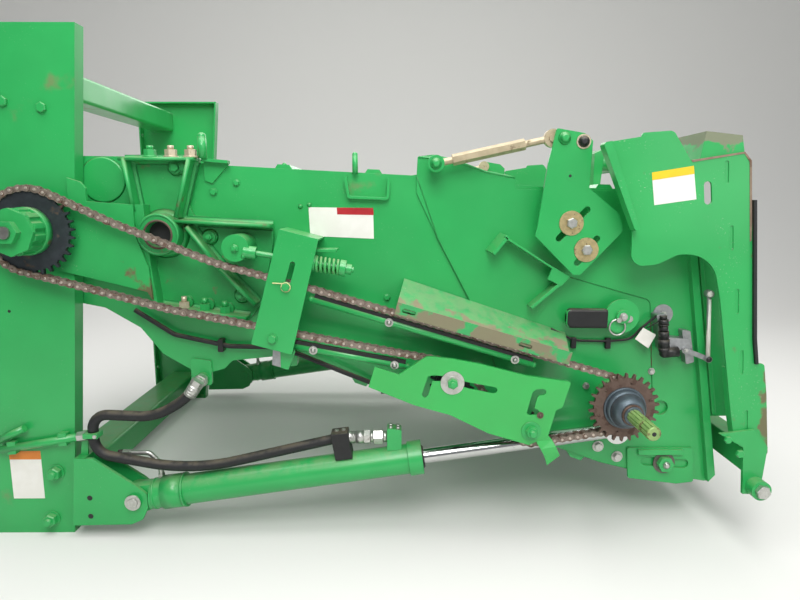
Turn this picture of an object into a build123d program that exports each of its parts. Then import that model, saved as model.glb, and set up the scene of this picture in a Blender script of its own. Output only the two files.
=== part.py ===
"""Feeder house of a combine harvester, hung on its front frame posts.

Millimetres. +X points forward to the header, +Y to the left, +Z up. The origin is the middle of
the bolt rectangle on the rear flanges of the two posts. Profiles are given from the pivot, which
is the axis of the upper conveyor shaft, and `at` moves them into the frame of the part.
Distances named *_IN and *_OUT are measured sideways from the mid-plane. The right side is built
and mirrored where both sides are alike.
"""

import os
from math import asin, atan2, cos, degrees, hypot, pi, radians, sin, tan

from build123d import *

os.makedirs("parts", exist_ok=True)

# Pivot of the lift, from the middle of the mounting bolts
PIVOT_X = 260.0
PIVOT_Z = 200.0

# Running fits and clearances
RUN_FIT = 0.1
SWING_GAP = 8.0
SEAT_GAP = 0.3

# Front frame posts
POST_DEPTH = 53.0
POST_WALL = 8.0
POST_TOP = 620.0
POST_BOTTOM = -1030.0
POST_FRONT_TOP = 160.0
POST_FRONT_BOTTOM = 20.0
MOUNT_BOLT_R = 11.0
MOUNT_BOLT_TOP = 450.0
MOUNT_BOLT_BOTTOM = -850.0

# Feeder house sides
SIDE_OUT = 684.0
SHEET = 6.0
OVERLAY = 6.0
POST_IN = SIDE_OUT + SWING_GAP
POST_OUT = POST_IN + POST_DEPTH
SIDE_IN = SIDE_OUT - SHEET
OVERLAY_OUT = SIDE_OUT + OVERLAY
OVERLAY_START = 1189.0

# Pivot arm, trunnion and seat
ARM_IN = POST_OUT + 6.0
ARM_PLATE = 12.0
ARM_OUT = ARM_IN + ARM_PLATE
ARM_EYE_R = 112.0
TRUNNION_R = 75.0
SEAT_R = 96.0

# Upper shaft with drive sprocket and slip clutch
UPPER_SHAFT_R = 30.0
CHAIN_Y = 800.0
CHAIN_PITCH = 25.4
SPROCKET_T = 14.0
REAR_TEETH = 32
CLUTCH_R = 71.0
CLUTCH_LENGTH = 96.0
CLUTCH_NUT_R = 36.0
THREAD_R = 18.0

# Header drive shaft
HEADER_X = 1850.0
HEADER_Z = -560.0
HEADER_SHAFT_R = 27.0
FRONT_TEETH = 20
GUIDE_TEETH = 26
SPLINE_R = 22.0
SPLINE_END = 1055.0

# Roller chain
CHAIN_INNER_HALF = 8.5
CHAIN_OUTER_HALF = 15.5
CHAIN_HEIGHT = 22.0

# Lift cylinder, its base pin and its rod pin
CYLINDER_Y = 744.0
BASE_PIN_X = 248.0
BASE_PIN_Z = -897.0
ROD_PIN_X = 1858.0
ROD_PIN_Z = -668.0
HOSE_Y = 760.0
HOSE_R = 17.0
CLAMP_X = 120.0
CLAMP_Z = -670.0
CLAMP_HALF = 8.0
ELBOW = (470.0, -500.0)
BARREL_R = 50.0
BARREL_LENGTH = 972.0
BARREL_WALL = 9.0
ROD_R = 25.0
PIN_R = 22.0
EYE_WIDTH = 50.0
CHEEK = 12.0

# Conveyor
DRUM_X = 2030.0
DRUM_Z = -610.0
DRUM_R = 120.0
CONVEYOR_WHEEL_R = 104.0
STRAND_W = 26.0
STRAND_T = 22.0
SLAT_COUNT = 17
SLAT_HEIGHT = 32.0
SLAT_T = 5.0

# Face frame
FACE_IN = 800.0
FACE_PLATE = 8.0
FACE_OUT = FACE_IN + FACE_PLATE
FACE_LEAN = degrees(atan2(152.0, 971.0))
TILT_PIN_R = 30.0
TILT_PIN_X = 2105.0
TILT_PIN_Z = 262.0


def at(x, z):
    """Point of a side profile, given from the pivot."""
    return (PIVOT_X + x, PIVOT_Z + z)


def side(y):
    """Sketch plane parallel to the sides, y to the right of the mid-plane."""
    return Plane.XZ.offset(y)


def strip(start, end, width):
    """Corners of a straight strip between two points of a profile."""
    length = hypot(end[0] - start[0], end[1] - start[1])
    nx = -(end[1] - start[1]) / length * width / 2
    nz = (end[0] - start[0]) / length * width / 2
    return [
        (start[0] + nx, start[1] + nz),
        (end[0] + nx, end[1] + nz),
        (end[0] - nx, end[1] - nz),
        (start[0] - nx, start[1] - nz),
    ]


def shifted(points, dx, dz):
    """Profile points moved sideways and up."""
    return [(x + dx, z + dz) for x, z in points]


def slab(points, inner, thick, radius=0.0):
    """Flat plate parallel to the sides with its corners rounded."""
    with BuildPart() as plate:
        with BuildSketch(side(inner)):
            with BuildLine():
                FilletPolyline(*[at(x, z) for x, z in points], radius=radius, close=True)
            make_face()
        extrude(amount=thick)
    return plate.part


def round_bar(x, z, radius, inner, outer):
    """Solid round bar along the width of the machine."""
    with BuildPart() as bar:
        with BuildSketch(side(inner)):
            with Locations(at(x, z)):
                Circle(radius)
        extrude(amount=outer - inner)
    return bar.part


def tapped(x, z, radius, sides, inner, outer):
    """Bar with flat sides along the width of the machine."""
    with BuildPart() as bar:
        with BuildSketch(side(inner)):
            with Locations(at(x, z)):
                RegularPolygon(radius, sides)
        extrude(amount=outer - inner)
    return bar.part


def rod_between(start, end, y, radius):
    """Round rod in a plane parallel to the sides."""
    begin = Vector(PIVOT_X + start[0], -y, PIVOT_Z + start[1])
    finish = Vector(PIVOT_X + end[0], -y, PIVOT_Z + end[1])
    with BuildPart() as rod_part:
        with BuildSketch(Plane(origin=begin, z_dir=(finish - begin).normalized())):
            Circle(radius)
        extrude(amount=(finish - begin).length)
    return rod_part.part


def slot_cut(start, end, width, inner, thick):
    """Body of a slot with round ends, to be taken out of a plate."""
    with BuildPart() as cut:
        add(slab(strip(start, end, width), inner, thick))
        for x, z in (start, end):
            add(round_bar(x, z, width / 2, inner, inner + thick))
    return cut.part


def cross_bar(points, half_width, radius=0.0):
    """Profile carried across the machine from side to side."""
    return slab(points, -half_width, 2 * half_width, radius)


def both_sides(part):
    """The right piece together with its mirrored left one."""
    return Compound(children=[Compound(part.wrapped), Compound(left_of(part).wrapped)])


def left_of(part):
    """The same piece for the left side."""
    return part.mirror(Plane.XZ)


def save(part, label):
    """Name the piece and write it."""
    part.label = label
    export_step(part, f"parts/{label}.step")


def save_pair(part, name):
    """Write the right piece and its mirrored left one."""
    mirrored = left_of(part)
    save(part, f"{name}_right")
    save(mirrored, f"{name}_left")


def sprocket_radius(teeth):
    """Pitch radius of a sprocket for the drive chain."""
    return CHAIN_PITCH / 2 / sin(pi / teeth)


def belt_segments(circles):
    """Lines and arcs of a closed loop that runs round signed circles.

    A positive radius has its centre on the right of the way that the loop runs. Each entry is
    ("line", start, end) or ("arc", centre, radius, first heading, last heading).
    """
    headings = []
    count = len(circles)
    for i in range(count):
        x0, z0, r0 = circles[i]
        x1, z1, r1 = circles[(i + 1) % count]
        gap = hypot(x1 - x0, z1 - z0)
        headings.append(atan2(z1 - z0, x1 - x0) + asin((r1 - r0) / gap))
    segments = []
    for i in range(count):
        x, z, r = circles[i]
        first = headings[i - 1]
        last = headings[i]
        turn = (first - last) % (2 * pi) if r > 0 else (last - first) % (2 * pi)
        last = first - turn if r > 0 else first + turn
        segments.append(("arc", (x, z), r, first, last))
        nx, nz, nr = circles[(i + 1) % count]
        start = touch_point(x, z, r, headings[i])
        end = touch_point(nx, nz, nr, headings[i])
        segments.append(("line", start, end))
    return segments


def touch_point(x, z, r, heading):
    """Where a loop with this heading touches a signed circle."""
    return (x - r * sin(heading), z + r * cos(heading))


def loop_band(segments, inner_shift, outer_shift, inner, thick):
    """Closed band that follows a loop between two shifts from its centreline."""
    with BuildPart() as band:
        with BuildSketch(side(inner)):
            with BuildLine():
                draw_loop(segments, outer_shift)
            make_face()
            with BuildLine():
                draw_loop(segments, inner_shift)
            make_face(mode=Mode.SUBTRACT)
        extrude(amount=thick)
    return band.part


def draw_loop(segments, shift):
    """Lines and arcs of a loop, moved outwards by a shift."""
    for segment in segments:
        if segment[0] == "line":
            (x0, z0), (x1, z1) = segment[1], segment[2]
            heading = atan2(z1 - z0, x1 - x0)
            nx, nz = -shift * sin(heading), shift * cos(heading)
            Line(at(x0 + nx, z0 + nz), at(x1 + nx, z1 + nz))
            continue
        (x, z), r, first, last = segment[1:]
        points = [touch_point(x, z, r + shift, h) for h in (first, (first + last) / 2, last)]
        ThreePointArc(*[at(px, pz) for px, pz in points])


# Posts: channels that open inwards, with a rear flange for the mounting bolts
POST_PROFILE = [
    (-PIVOT_X, POST_BOTTOM),
    (POST_FRONT_BOTTOM, POST_BOTTOM),
    (POST_FRONT_TOP, POST_TOP),
    (-PIVOT_X, POST_TOP),
]

with BuildPart() as post:
    with BuildSketch(side(POST_IN)):
        Polygon(*[at(x, z) for x, z in POST_PROFILE], align=None)
    extrude(amount=POST_DEPTH)
    with BuildSketch(side(POST_IN)):
        Polygon(*[at(x, z) for x, z in POST_PROFILE], align=None)
        offset(amount=-POST_WALL, mode=Mode.REPLACE)
    extrude(amount=POST_DEPTH - POST_WALL, mode=Mode.SUBTRACT)
    with BuildSketch(side(POST_IN)):
        with Locations(at(0, 0)):
            Circle(TRUNNION_R + 5)
    extrude(amount=POST_DEPTH, mode=Mode.SUBTRACT)
    with BuildSketch(Plane.YZ):
        flange_mid = -POST_IN - POST_DEPTH / 2
        with Locations(*[(flange_mid, PIVOT_Z + z) for z in (MOUNT_BOLT_TOP, MOUNT_BOLT_BOTTOM)]):
            Circle(MOUNT_BOLT_R)
    extrude(amount=POST_WALL, mode=Mode.SUBTRACT)
save_pair(post.part, "post")

# Pivot seats inside the posts
with BuildPart() as pivot_seat:
    with BuildSketch(side(POST_IN)):
        with Locations(at(0, 0)):
            Circle(SEAT_R)
            Circle(TRUNNION_R + RUN_FIT, mode=Mode.SUBTRACT)
    extrude(amount=POST_DEPTH - POST_WALL)
save_pair(pivot_seat.part, "pivot_seat")

# Cross beams between the webs of the posts: middle x, middle z, size x, size z
BEAMS = {
    "upper_beam": (-150.0, 520.0, 120.0, 100.0),
    "lower_beam": (-110.0, -940.0, 140.0, 110.0),
}
for name, (bx, bz, bw, bh) in BEAMS.items():
    with BuildPart() as beam:
        with BuildSketch(side(-(POST_OUT - POST_WALL))):
            with Locations(at(bx, bz)):
                RectangleRounded(bw, bh, 12)
                RectangleRounded(bw - 2 * POST_WALL, bh - 2 * POST_WALL, 4, mode=Mode.SUBTRACT)
        extrude(amount=2 * (POST_OUT - POST_WALL))
    save(beam.part, name)

# Cylinder anchors: two cheeks, a back plate on the post and the base pin
CHEEK_IN = CYLINDER_Y - EYE_WIDTH / 2 - 3.0 - CHEEK
CHEEK_OUT = CYLINDER_Y + EYE_WIDTH / 2 + 3.0 + CHEEK
CHEEK_PROFILE = [
    (95, -747), (119, -747), (255, -842), (292, -874), (293, -920), (273, -963), (235, -980), (60, -983),
    (60, -860),
]
CLAMP_ARM = [(66, -765), (90, -765), (98, -678), (144, -678), (144, -662), (80, -662)]
with BuildPart() as cylinder_anchor:
    add(slab(CHEEK_PROFILE, CHEEK_IN, CHEEK, 8))
    add(slab(CHEEK_PROFILE, CHEEK_OUT - CHEEK, CHEEK, 8))
    add(slab([(60, -747), (95, -747), (75, -983), (38, -983)], CHEEK_IN, CHEEK_OUT - CHEEK_IN))
    add(round_bar(BASE_PIN_X, BASE_PIN_Z, PIN_R, CHEEK_IN - 6, CHEEK_OUT + 10))
    add(slab(CLAMP_ARM, POST_OUT, 8, 3))
    add(slab([(CLAMP_X - 24, CLAMP_Z - CLAMP_HALF), (CLAMP_X + 24, CLAMP_Z - CLAMP_HALF),
              (CLAMP_X + 24, CLAMP_Z + CLAMP_HALF), (CLAMP_X - 24, CLAMP_Z + CLAMP_HALF)], POST_OUT, 40))
save_pair(cylinder_anchor.part, "cylinder_anchor")

# Side sheets
SIDE_PROFILE = [
    (-110, 236), (253, 232), (591, 203), (1190, 172), (1604, 136), (2076, 126), (2231, -883), (1940, -837),
    (1833, -810), (772, -421), (569, -441), (542, -469), (482, -486), (423, -469), (338, -417), (268, -327),
    (156, -259), (-60, -215), (-175, -120), (-185, 120),
]
POCKET = [(954, 171), (1104, 163), (1100, 94), (966, 99)]
POCKET_INSIDE = [(962, 190), (1096, 190), (1092, 102), (974, 107)]
with BuildPart() as side_sheet:
    add(slab(SIDE_PROFILE, SIDE_IN, SHEET, 15))
    add(round_bar(0, 0, UPPER_SHAFT_R + 12, SIDE_IN, SIDE_OUT), mode=Mode.SUBTRACT)
    add(round_bar(HEADER_X, HEADER_Z, HEADER_SHAFT_R + 6, SIDE_IN, SIDE_OUT), mode=Mode.SUBTRACT)
    add(round_bar(DRUM_X, DRUM_Z, 26, SIDE_IN, SIDE_OUT), mode=Mode.SUBTRACT)
    add(slab([(508, 225), (590, 218), (590, 208), (508, 215)], SIDE_OUT, 31))
    add(slab([(508, 217), (590, 210), (532, 147), (508, 156)], SIDE_OUT, 8))
    add(slab(POCKET, SIDE_OUT, 20, 12))
    add(slab(POCKET_INSIDE, SIDE_OUT, 20, 8), mode=Mode.SUBTRACT)
    add(slab([(430, -430), (500, -440), (500, -525), (430, -525)], SIDE_OUT, 8, 10))
    add(round_bar(ELBOW[0], ELBOW[1], 21, SIDE_OUT, SIDE_OUT + 26))
    add(round_bar(ELBOW[0], ELBOW[1], 15, SIDE_OUT, HOSE_Y - HOSE_R - SEAT_GAP))
save_pair(side_sheet.part, "side_sheet")

# Front overlay of the sides, with the front flange
OVERLAY_PROFILE = [
    (1189, 171), (1192, 232), (1242, 238), (1301, 226), (1413, 186), (1506, 168), (1510, 129), (2072, 120),
    (2226, -845), (2205, -878), (1940, -832), (1833, -805), (1560, -706), (1363, -226), (1259, -29), (1189, 117),
]
with BuildPart() as front_overlay:
    add(slab(OVERLAY_PROFILE, SIDE_OUT, OVERLAY, 6))
    add(slab([(2050, 118), (2072, 118), (2226, -845), (2204, -870)], OVERLAY_OUT, 24))
    add(round_bar(HEADER_X, HEADER_Z, HEADER_SHAFT_R + 6, SIDE_OUT, OVERLAY_OUT), mode=Mode.SUBTRACT)
    add(round_bar(DRUM_X, DRUM_Z, 26, SIDE_OUT, OVERLAY_OUT + 24), mode=Mode.SUBTRACT)
save_pair(front_overlay.part, "front_overlay")

# Roof and floor between the sides
ROOF_LINE = [(-100, 222), (253, 218), (591, 190), (1190, 159), (1604, 123), (2064, 113)]
FLOOR_LINE = [(-60, -200), (160, -243), (480, -330), (772, -414), (1833, -797), (1940, -822), (2212, -866)]


def height_on(line, x):
    """Height of a bent line at a distance from the pivot."""
    for (x0, z0), (x1, z1) in zip(line, line[1:]):
        if x0 <= x <= x1:
            return z0 + (z1 - z0) * (x - x0) / (x1 - x0)
    raise ValueError("outside the line")


def sheet_along(line, thick):
    """Closed outline of a bent sheet whose upper face follows a line."""
    lower = [(x, z - thick) for x, z in reversed(line)]
    return line + lower


# Middles of the stiffeners across the roof and under the floor
ROOF_RIBS = (330.0, 760.0, 1050.0, 1500.0, 1800.0)
FLOOR_RIBS = (300.0, 620.0, 1000.0, 1400.0, 1750.0)
RIB_HALF = 38.0
RIB_HEIGHT = 26.0


def stiffener(line, x, base, tip):
    """Trapezium across the machine on a bent line, between two heights from it."""
    z0, z1 = height_on(line, x - RIB_HALF), height_on(line, x + RIB_HALF)
    n0, n1 = height_on(line, x - RIB_HALF / 2), height_on(line, x + RIB_HALF / 2)
    foot = [(x - RIB_HALF, z0 + base), (x + RIB_HALF, z1 + base)]
    crown = [(x + RIB_HALF / 2, n1 + tip), (x - RIB_HALF / 2, n0 + tip)]
    return cross_bar(foot + crown, SIDE_IN)


with BuildPart() as roof:
    add(cross_bar(sheet_along(ROOF_LINE, SHEET), SIDE_IN))
    for x in ROOF_RIBS:
        add(stiffener(ROOF_LINE, x, -2, RIB_HEIGHT))
save(roof.part, "roof")

with BuildPart() as floor:
    add(cross_bar(sheet_along(FLOOR_LINE, SHEET), SIDE_IN))
    for x in FLOOR_RIBS:
        add(stiffener(FLOOR_LINE, x, -SHEET + 2, -SHEET - RIB_HEIGHT))
save(floor.part, "floor")

# Cast side frames: a web with ribs and a hollow boss, outboard of the side sheets
WEB_T = 16.0
RIB_TOP = ARM_IN
BOSS_X = 375.0
BOSS_Z = -13.0
BOSS_R = 66.0
BOSS_HOLE_R = 40.0
CASTING_PROFILE = [
    (258, 226), (500, 226), (455, 80), (470, 45), (725, 18), (725, -30), (685, -235), (640, -290),
    (416, -262),
    (344, -250), (310, -120), (270, -80), (270, 80),
]
# start x, start z, end x, end z, width
RIBS = [
    (277, 222, 300, 60, 14),
    (480, 220, 430, 40, 14),
    (400, 30, 725, 12, 12),
    (461, 10, 560, -124, 14),
    (560, -124, 668, -240, 14),
    (344, -244, 640, -284, 12),
    (330, -60, 350, -244, 14),
    (262, 220, 496, 220, 10),
]
# Seats of the bolts on the web: x, z, radius
CASTING_BOSSES = [
    (423, 196, 20),
    (452, 196, 20),
    (436, -236, 20),
    (505, -244, 20),
    (569, -258, 20),
    (616, -215, 20),
    (520, -24, 20),
]
with BuildPart() as casting:
    add(slab(CASTING_PROFILE, SIDE_OUT, WEB_T, 5))
    for x0, z0, x1, z1, width in RIBS:
        add(slab(strip((x0, z0), (x1, z1), width), SIDE_OUT + WEB_T, RIB_TOP - SIDE_OUT - WEB_T))
    add(slab([(270, 80), (330, 80), (350, -240), (310, -120), (270, -80)], SIDE_OUT + WEB_T,
             RIB_TOP - SIDE_OUT - WEB_T))
    for x, z, radius in CASTING_BOSSES:
        add(round_bar(x, z, radius, SIDE_OUT + WEB_T, SIDE_OUT + WEB_T + 14))
    add(round_bar(BOSS_X, BOSS_Z, BOSS_R, SIDE_OUT, RIB_TOP + 12))
    add(round_bar(BOSS_X, BOSS_Z, BOSS_HOLE_R, SIDE_OUT + 8, RIB_TOP + 12), mode=Mode.SUBTRACT)
save_pair(casting.part, "casting")

# Pivot arms: plate outboard of the post with the trunnion that turns in the seat
ARM_PROFILE = [
    (0, ARM_EYE_R), (121, 93), (303, 80), (303, -10), (340, -120), (345, -221), (331, -195), (29, -119),
    (0, -ARM_EYE_R),
]
with BuildPart() as pivot_arm:
    add(slab(ARM_PROFILE, ARM_IN, ARM_PLATE))
    add(round_bar(0, 0, ARM_EYE_R, ARM_IN, ARM_OUT))
    add(slab([(104, 60), (104, 162), (144, 150), (160, 130), (160, 60)], ARM_IN, ARM_PLATE))
    add(round_bar(0, 0, TRUNNION_R, SIDE_OUT, ARM_IN))
    add(round_bar(0, 0, UPPER_SHAFT_R + RUN_FIT, SIDE_OUT, ARM_OUT), mode=Mode.SUBTRACT)
save_pair(pivot_arm.part, "pivot_arm")

# Bearings of the header drive shaft and of the front drum
with BuildPart() as header_bearing:
    add(round_bar(HEADER_X, HEADER_Z, 50, OVERLAY_OUT, OVERLAY_OUT + 26))
    header_bore = round_bar(HEADER_X, HEADER_Z, HEADER_SHAFT_R + RUN_FIT, OVERLAY_OUT, OVERLAY_OUT + 26)
    add(header_bore, mode=Mode.SUBTRACT)
save_pair(header_bearing.part, "header_bearing")

DRUM_SHAFT_R = 20.0
DRUM_WALL = 10.0
with BuildPart() as drum_bearing:
    add(round_bar(DRUM_X, DRUM_Z, 44, SIDE_IN - 30, SIDE_IN))
    add(round_bar(DRUM_X, DRUM_Z, DRUM_SHAFT_R + RUN_FIT, SIDE_IN - 30, SIDE_IN - 6), mode=Mode.SUBTRACT)
save_pair(drum_bearing.part, "drum_bearing")

# Rod brackets: a boss on the overlay beside the rod's eye
with BuildPart() as rod_bracket:
    add(round_bar(ROD_PIN_X, ROD_PIN_Z, 42, OVERLAY_OUT, CYLINDER_Y - EYE_WIDTH / 2 - SEAT_GAP))
save_pair(rod_bracket.part, "rod_bracket")

# Drive chain loop: x, z, signed radius
REAR_R = sprocket_radius(REAR_TEETH)
FRONT_R = sprocket_radius(FRONT_TEETH)
IDLER_UPPER = (1302.0, -485.0, 16)
IDLER_LOWER = (1556.0, -640.0, 12)


def bend(x, z, heading, radius):
    """Circle of a gentle bend through a point, with the heading there in degrees."""
    turn = radians(heading)
    return (x + radius * sin(turn), z - radius * cos(turn), radius)


CHAIN_CIRCLES = [
    (0.0, 0.0, REAR_R),
    bend(260, 22, -22.5, -700),
    bend(560, -98, -18.5, -700),
    bend(880, -186, -16.2, 700),
    (HEADER_X, HEADER_Z, FRONT_R),
    (IDLER_LOWER[0], IDLER_LOWER[1], sprocket_radius(IDLER_LOWER[2])),
    (IDLER_UPPER[0], IDLER_UPPER[1], -sprocket_radius(IDLER_UPPER[2])),
    bend(860, -334, 169.2, 700),
    bend(420, -246, 167.0, 700),
]
CHAIN_LOOP = belt_segments(CHAIN_CIRCLES)


def free_run(index, margin):
    """Straight piece of the loop, shortened at both ends."""
    (x0, z0), (x1, z1) = CHAIN_LOOP[index][1], CHAIN_LOOP[index][2]
    length = hypot(x1 - x0, z1 - z0)
    ux, uz = (x1 - x0) / length, (z1 - z0) / length
    return ((x0 + ux * margin, z0 + uz * margin), (x1 - ux * margin, z1 - uz * margin))


# Straight runs whose rollers fill the space between the plates
ROLLER_R = 7.9
SPROCKET_REACH = 68.0
ROLLER_RUNS = [free_run(i, SPROCKET_REACH) for i in (1, 3, 5, 7, 9, 11, 13, 15, 17)]
HALF_HEIGHT = CHAIN_HEIGHT / 2
LINK_PLATE = 3.2
OUTER_PLATE_HEIGHT = 18.5
INNER_PLATE_OUT = CHAIN_INNER_HALF + LINK_PLATE


def along_loop(segments, step):
    """Points and headings at equal steps round a loop."""
    lengths = [hypot(s[2][0] - s[1][0], s[2][1] - s[1][1]) if s[0] == "line" else s[2] * (s[3] - s[4])
               for s in segments]
    total = sum(abs(length) for length in lengths)
    count = 2 * round(total / step / 2)
    places = []
    for i in range(count):
        left = total * i / count
        for segment, length in zip(segments, lengths):
            if left < abs(length):
                places.append(place_on(segment, left / abs(length)))
                break
            left -= abs(length)
    return places


def place_on(segment, share):
    """Point and heading at a share of one segment of a loop."""
    if segment[0] == "line":
        (x0, z0), (x1, z1) = segment[1], segment[2]
        return (x0 + (x1 - x0) * share, z0 + (z1 - z0) * share)
    (x, z), r, first, last = segment[1:]
    return touch_point(x, z, r, first + (last - first) * share)


LINKS = along_loop(CHAIN_LOOP, CHAIN_PITCH)


def outer_plates(inner):
    """Every second link's plate."""
    with BuildPart() as plates:
        with BuildSketch(side(inner)):
            for start, end in zip(LINKS[0::2], LINKS[1::2]):
                heading = atan2(end[1] - start[1], end[0] - start[0])
                ux, uz = cos(heading), sin(heading)
                tail = (start[0] - ux * OUTER_PLATE_HEIGHT / 2, start[1] - uz * OUTER_PLATE_HEIGHT / 2)
                head = (end[0] + ux * OUTER_PLATE_HEIGHT / 2, end[1] + uz * OUTER_PLATE_HEIGHT / 2)
                Polygon(*[at(x, z) for x, z in strip(tail, head, OUTER_PLATE_HEIGHT)], align=None)
        extrude(amount=LINK_PLATE)
    return plates.part


with BuildPart() as drive_chain:
    for inner in (CHAIN_Y - INNER_PLATE_OUT, CHAIN_Y + CHAIN_INNER_HALF):
        add(loop_band(CHAIN_LOOP, -HALF_HEIGHT, HALF_HEIGHT, inner, LINK_PLATE))
    for inner in (CHAIN_Y - INNER_PLATE_OUT - LINK_PLATE, CHAIN_Y + INNER_PLATE_OUT):
        add(outer_plates(inner))
    for start, end in ROLLER_RUNS:
        add(slab(strip(start, end, 2 * ROLLER_R), CHAIN_Y - CHAIN_INNER_HALF, 2 * CHAIN_INNER_HALF))
save(drive_chain.part, "drive_chain")


def mesh_angle(x, z, teeth):
    """Angle at which a link of the chain sits in a tooth gap of this sprocket."""
    pitch_r = sprocket_radius(teeth)
    nearest = min(LINKS, key=lambda link: abs(hypot(link[0] - x, link[1] - z) - pitch_r))
    return atan2(nearest[1] - z, nearest[0] - x)


TOOTH_GAP = 6.2
TOOTH_TIP = 2.5
TOOTH_HEIGHT = 7.0
TOOTH_DEPTH = 8.2


def toothed_wheel(x, z, teeth, inner, thick):
    """Sprocket disc with straight-sided teeth that stand between the links."""
    pitch_r = sprocket_radius(teeth)
    root, tip = pitch_r - TOOTH_DEPTH, pitch_r + TOOTH_HEIGHT
    start = mesh_angle(x, z, teeth)
    outline = []
    for i in range(teeth):
        gap = start + 2 * pi * i / teeth
        tooth = gap + pi / teeth
        for radius, angle in (
            (root, gap - TOOTH_GAP / root),
            (root, gap + TOOTH_GAP / root),
            (tip, tooth - TOOTH_TIP / tip),
            (tip, tooth + TOOTH_TIP / tip),
        ):
            outline.append(at(x + radius * cos(angle), z + radius * sin(angle)))
    with BuildPart() as wheel:
        with BuildSketch(side(inner)):
            Polygon(*outline, align=None)
        extrude(amount=thick)
    return wheel.part


# Upper shaft, its conveyor wheels, drive sprocket, slip clutch and left pulley
SPROCKET_IN = CHAIN_Y - SPROCKET_T / 2
CLUTCH_IN = CHAIN_Y + SPROCKET_T / 2
CLUTCH_OUT = CLUTCH_IN + CLUTCH_LENGTH
PULLEY_R = 190.0
PULLEY_W = 70.0
STRAND_YS = (-560.0, 0.0, 560.0)
with BuildPart() as upper_shaft:
    add(round_bar(0, 0, UPPER_SHAFT_R, -CHAIN_Y - 50, CLUTCH_OUT))
    add(round_bar(0, 0, THREAD_R, CLUTCH_OUT, CLUTCH_OUT + 30))
    for y in STRAND_YS:
        add(round_bar(0, 0, CONVEYOR_WHEEL_R - SEAT_GAP, y - STRAND_W / 2 + 4, y + STRAND_W / 2 - 4))
save(upper_shaft.part, "upper_shaft")

with BuildPart() as rear_sprocket:
    add(toothed_wheel(0, 0, REAR_TEETH, SPROCKET_IN, SPROCKET_T))
    add(round_bar(0, 0, 55, ARM_OUT + 5, SPROCKET_IN))
    add(round_bar(0, 0, UPPER_SHAFT_R, ARM_OUT, CHAIN_Y + SPROCKET_T), mode=Mode.SUBTRACT)
save(rear_sprocket.part, "rear_sprocket")

with BuildPart() as slip_clutch:
    with BuildSketch(side(CLUTCH_IN)):
        with Locations(at(0, 0)):
            Circle(CLUTCH_R)
            with PolarLocations(CLUTCH_R + 4, 12):
                Circle(11, mode=Mode.SUBTRACT)
    extrude(amount=CLUTCH_LENGTH - 14)
    with BuildSketch(side(CLUTCH_OUT - 14)):
        with Locations(at(0, 0)):
            RegularPolygon(CLUTCH_R, 8)
    extrude(amount=14)
    add(round_bar(0, 0, UPPER_SHAFT_R, CLUTCH_IN, CLUTCH_OUT), mode=Mode.SUBTRACT)
    add(tapped(0, 0, CLUTCH_NUT_R, 6, CLUTCH_OUT, CLUTCH_OUT + 22))
    add(round_bar(0, 0, THREAD_R, CLUTCH_OUT, CLUTCH_OUT + 22), mode=Mode.SUBTRACT)
save(slip_clutch.part, "slip_clutch")

GROOVES = 3
GROOVE_PITCH = 20.0
GROOVE_DEPTH = 16.0
with BuildPart() as drive_pulley:
    add(round_bar(0, 0, PULLEY_R, -CHAIN_Y - PULLEY_W / 2, -CHAIN_Y + PULLEY_W / 2))
    for y in (-CHAIN_Y - PULLEY_W / 2, -CHAIN_Y + PULLEY_W / 2 - 26):
        add(round_bar(0, 0, PULLEY_R - 30, y, y + 26), mode=Mode.SUBTRACT)
    add(round_bar(0, 0, 52, -CHAIN_Y - PULLEY_W / 2, -CHAIN_Y + PULLEY_W / 2))
    with BuildSketch(Plane(origin=(PIVOT_X, CHAIN_Y, PIVOT_Z), x_dir=(1, 0, 0), z_dir=(0, 0, 1))):
        for i in range(GROOVES):
            middle = (i - (GROOVES - 1) / 2) * GROOVE_PITCH
            Polygon((PULLEY_R + 1, middle - 8), (PULLEY_R + 1, middle + 8), (PULLEY_R - GROOVE_DEPTH, middle + 3),
                    (PULLEY_R - GROOVE_DEPTH, middle - 3), align=None)
    revolve(axis=Axis((PIVOT_X, CHAIN_Y, PIVOT_Z), (0, 1, 0)), mode=Mode.SUBTRACT)
    add(round_bar(0, 0, UPPER_SHAFT_R, -CHAIN_Y - PULLEY_W / 2, -CHAIN_Y + PULLEY_W / 2), mode=Mode.SUBTRACT)
save(drive_pulley.part, "drive_pulley")

# Header drive shaft with its two spline ends, and the double sprocket
HUB_OUT = CHAIN_Y + 66.0
SPLINE_START_LEFT = OVERLAY_OUT + 60.0
with BuildPart() as header_shaft:
    add(round_bar(HEADER_X, HEADER_Z, HEADER_SHAFT_R, -SPLINE_START_LEFT, HUB_OUT))
    add(round_bar(HEADER_X, HEADER_Z, SPLINE_R, HUB_OUT, SPLINE_END))
    add(round_bar(HEADER_X, HEADER_Z, SPLINE_R, -SPLINE_END, -SPLINE_START_LEFT))
save(header_shaft.part, "header_shaft")

with BuildPart() as front_sprocket:
    add(toothed_wheel(HEADER_X, HEADER_Z, FRONT_TEETH, SPROCKET_IN, SPROCKET_T))
    add(round_bar(HEADER_X, HEADER_Z, 50, SPROCKET_IN - 10, SPROCKET_IN))
    add(round_bar(HEADER_X, HEADER_Z, 60, CLUTCH_IN, CHAIN_Y + 20))
    add(toothed_wheel(HEADER_X, HEADER_Z, GUIDE_TEETH, CHAIN_Y + 20, 12))
    add(round_bar(HEADER_X, HEADER_Z, 55, CHAIN_Y + 32, HUB_OUT))
    add(round_bar(HEADER_X, HEADER_Z, HEADER_SHAFT_R, SPROCKET_IN - 10, HUB_OUT), mode=Mode.SUBTRACT)
save(front_sprocket.part, "front_sprocket")

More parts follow.
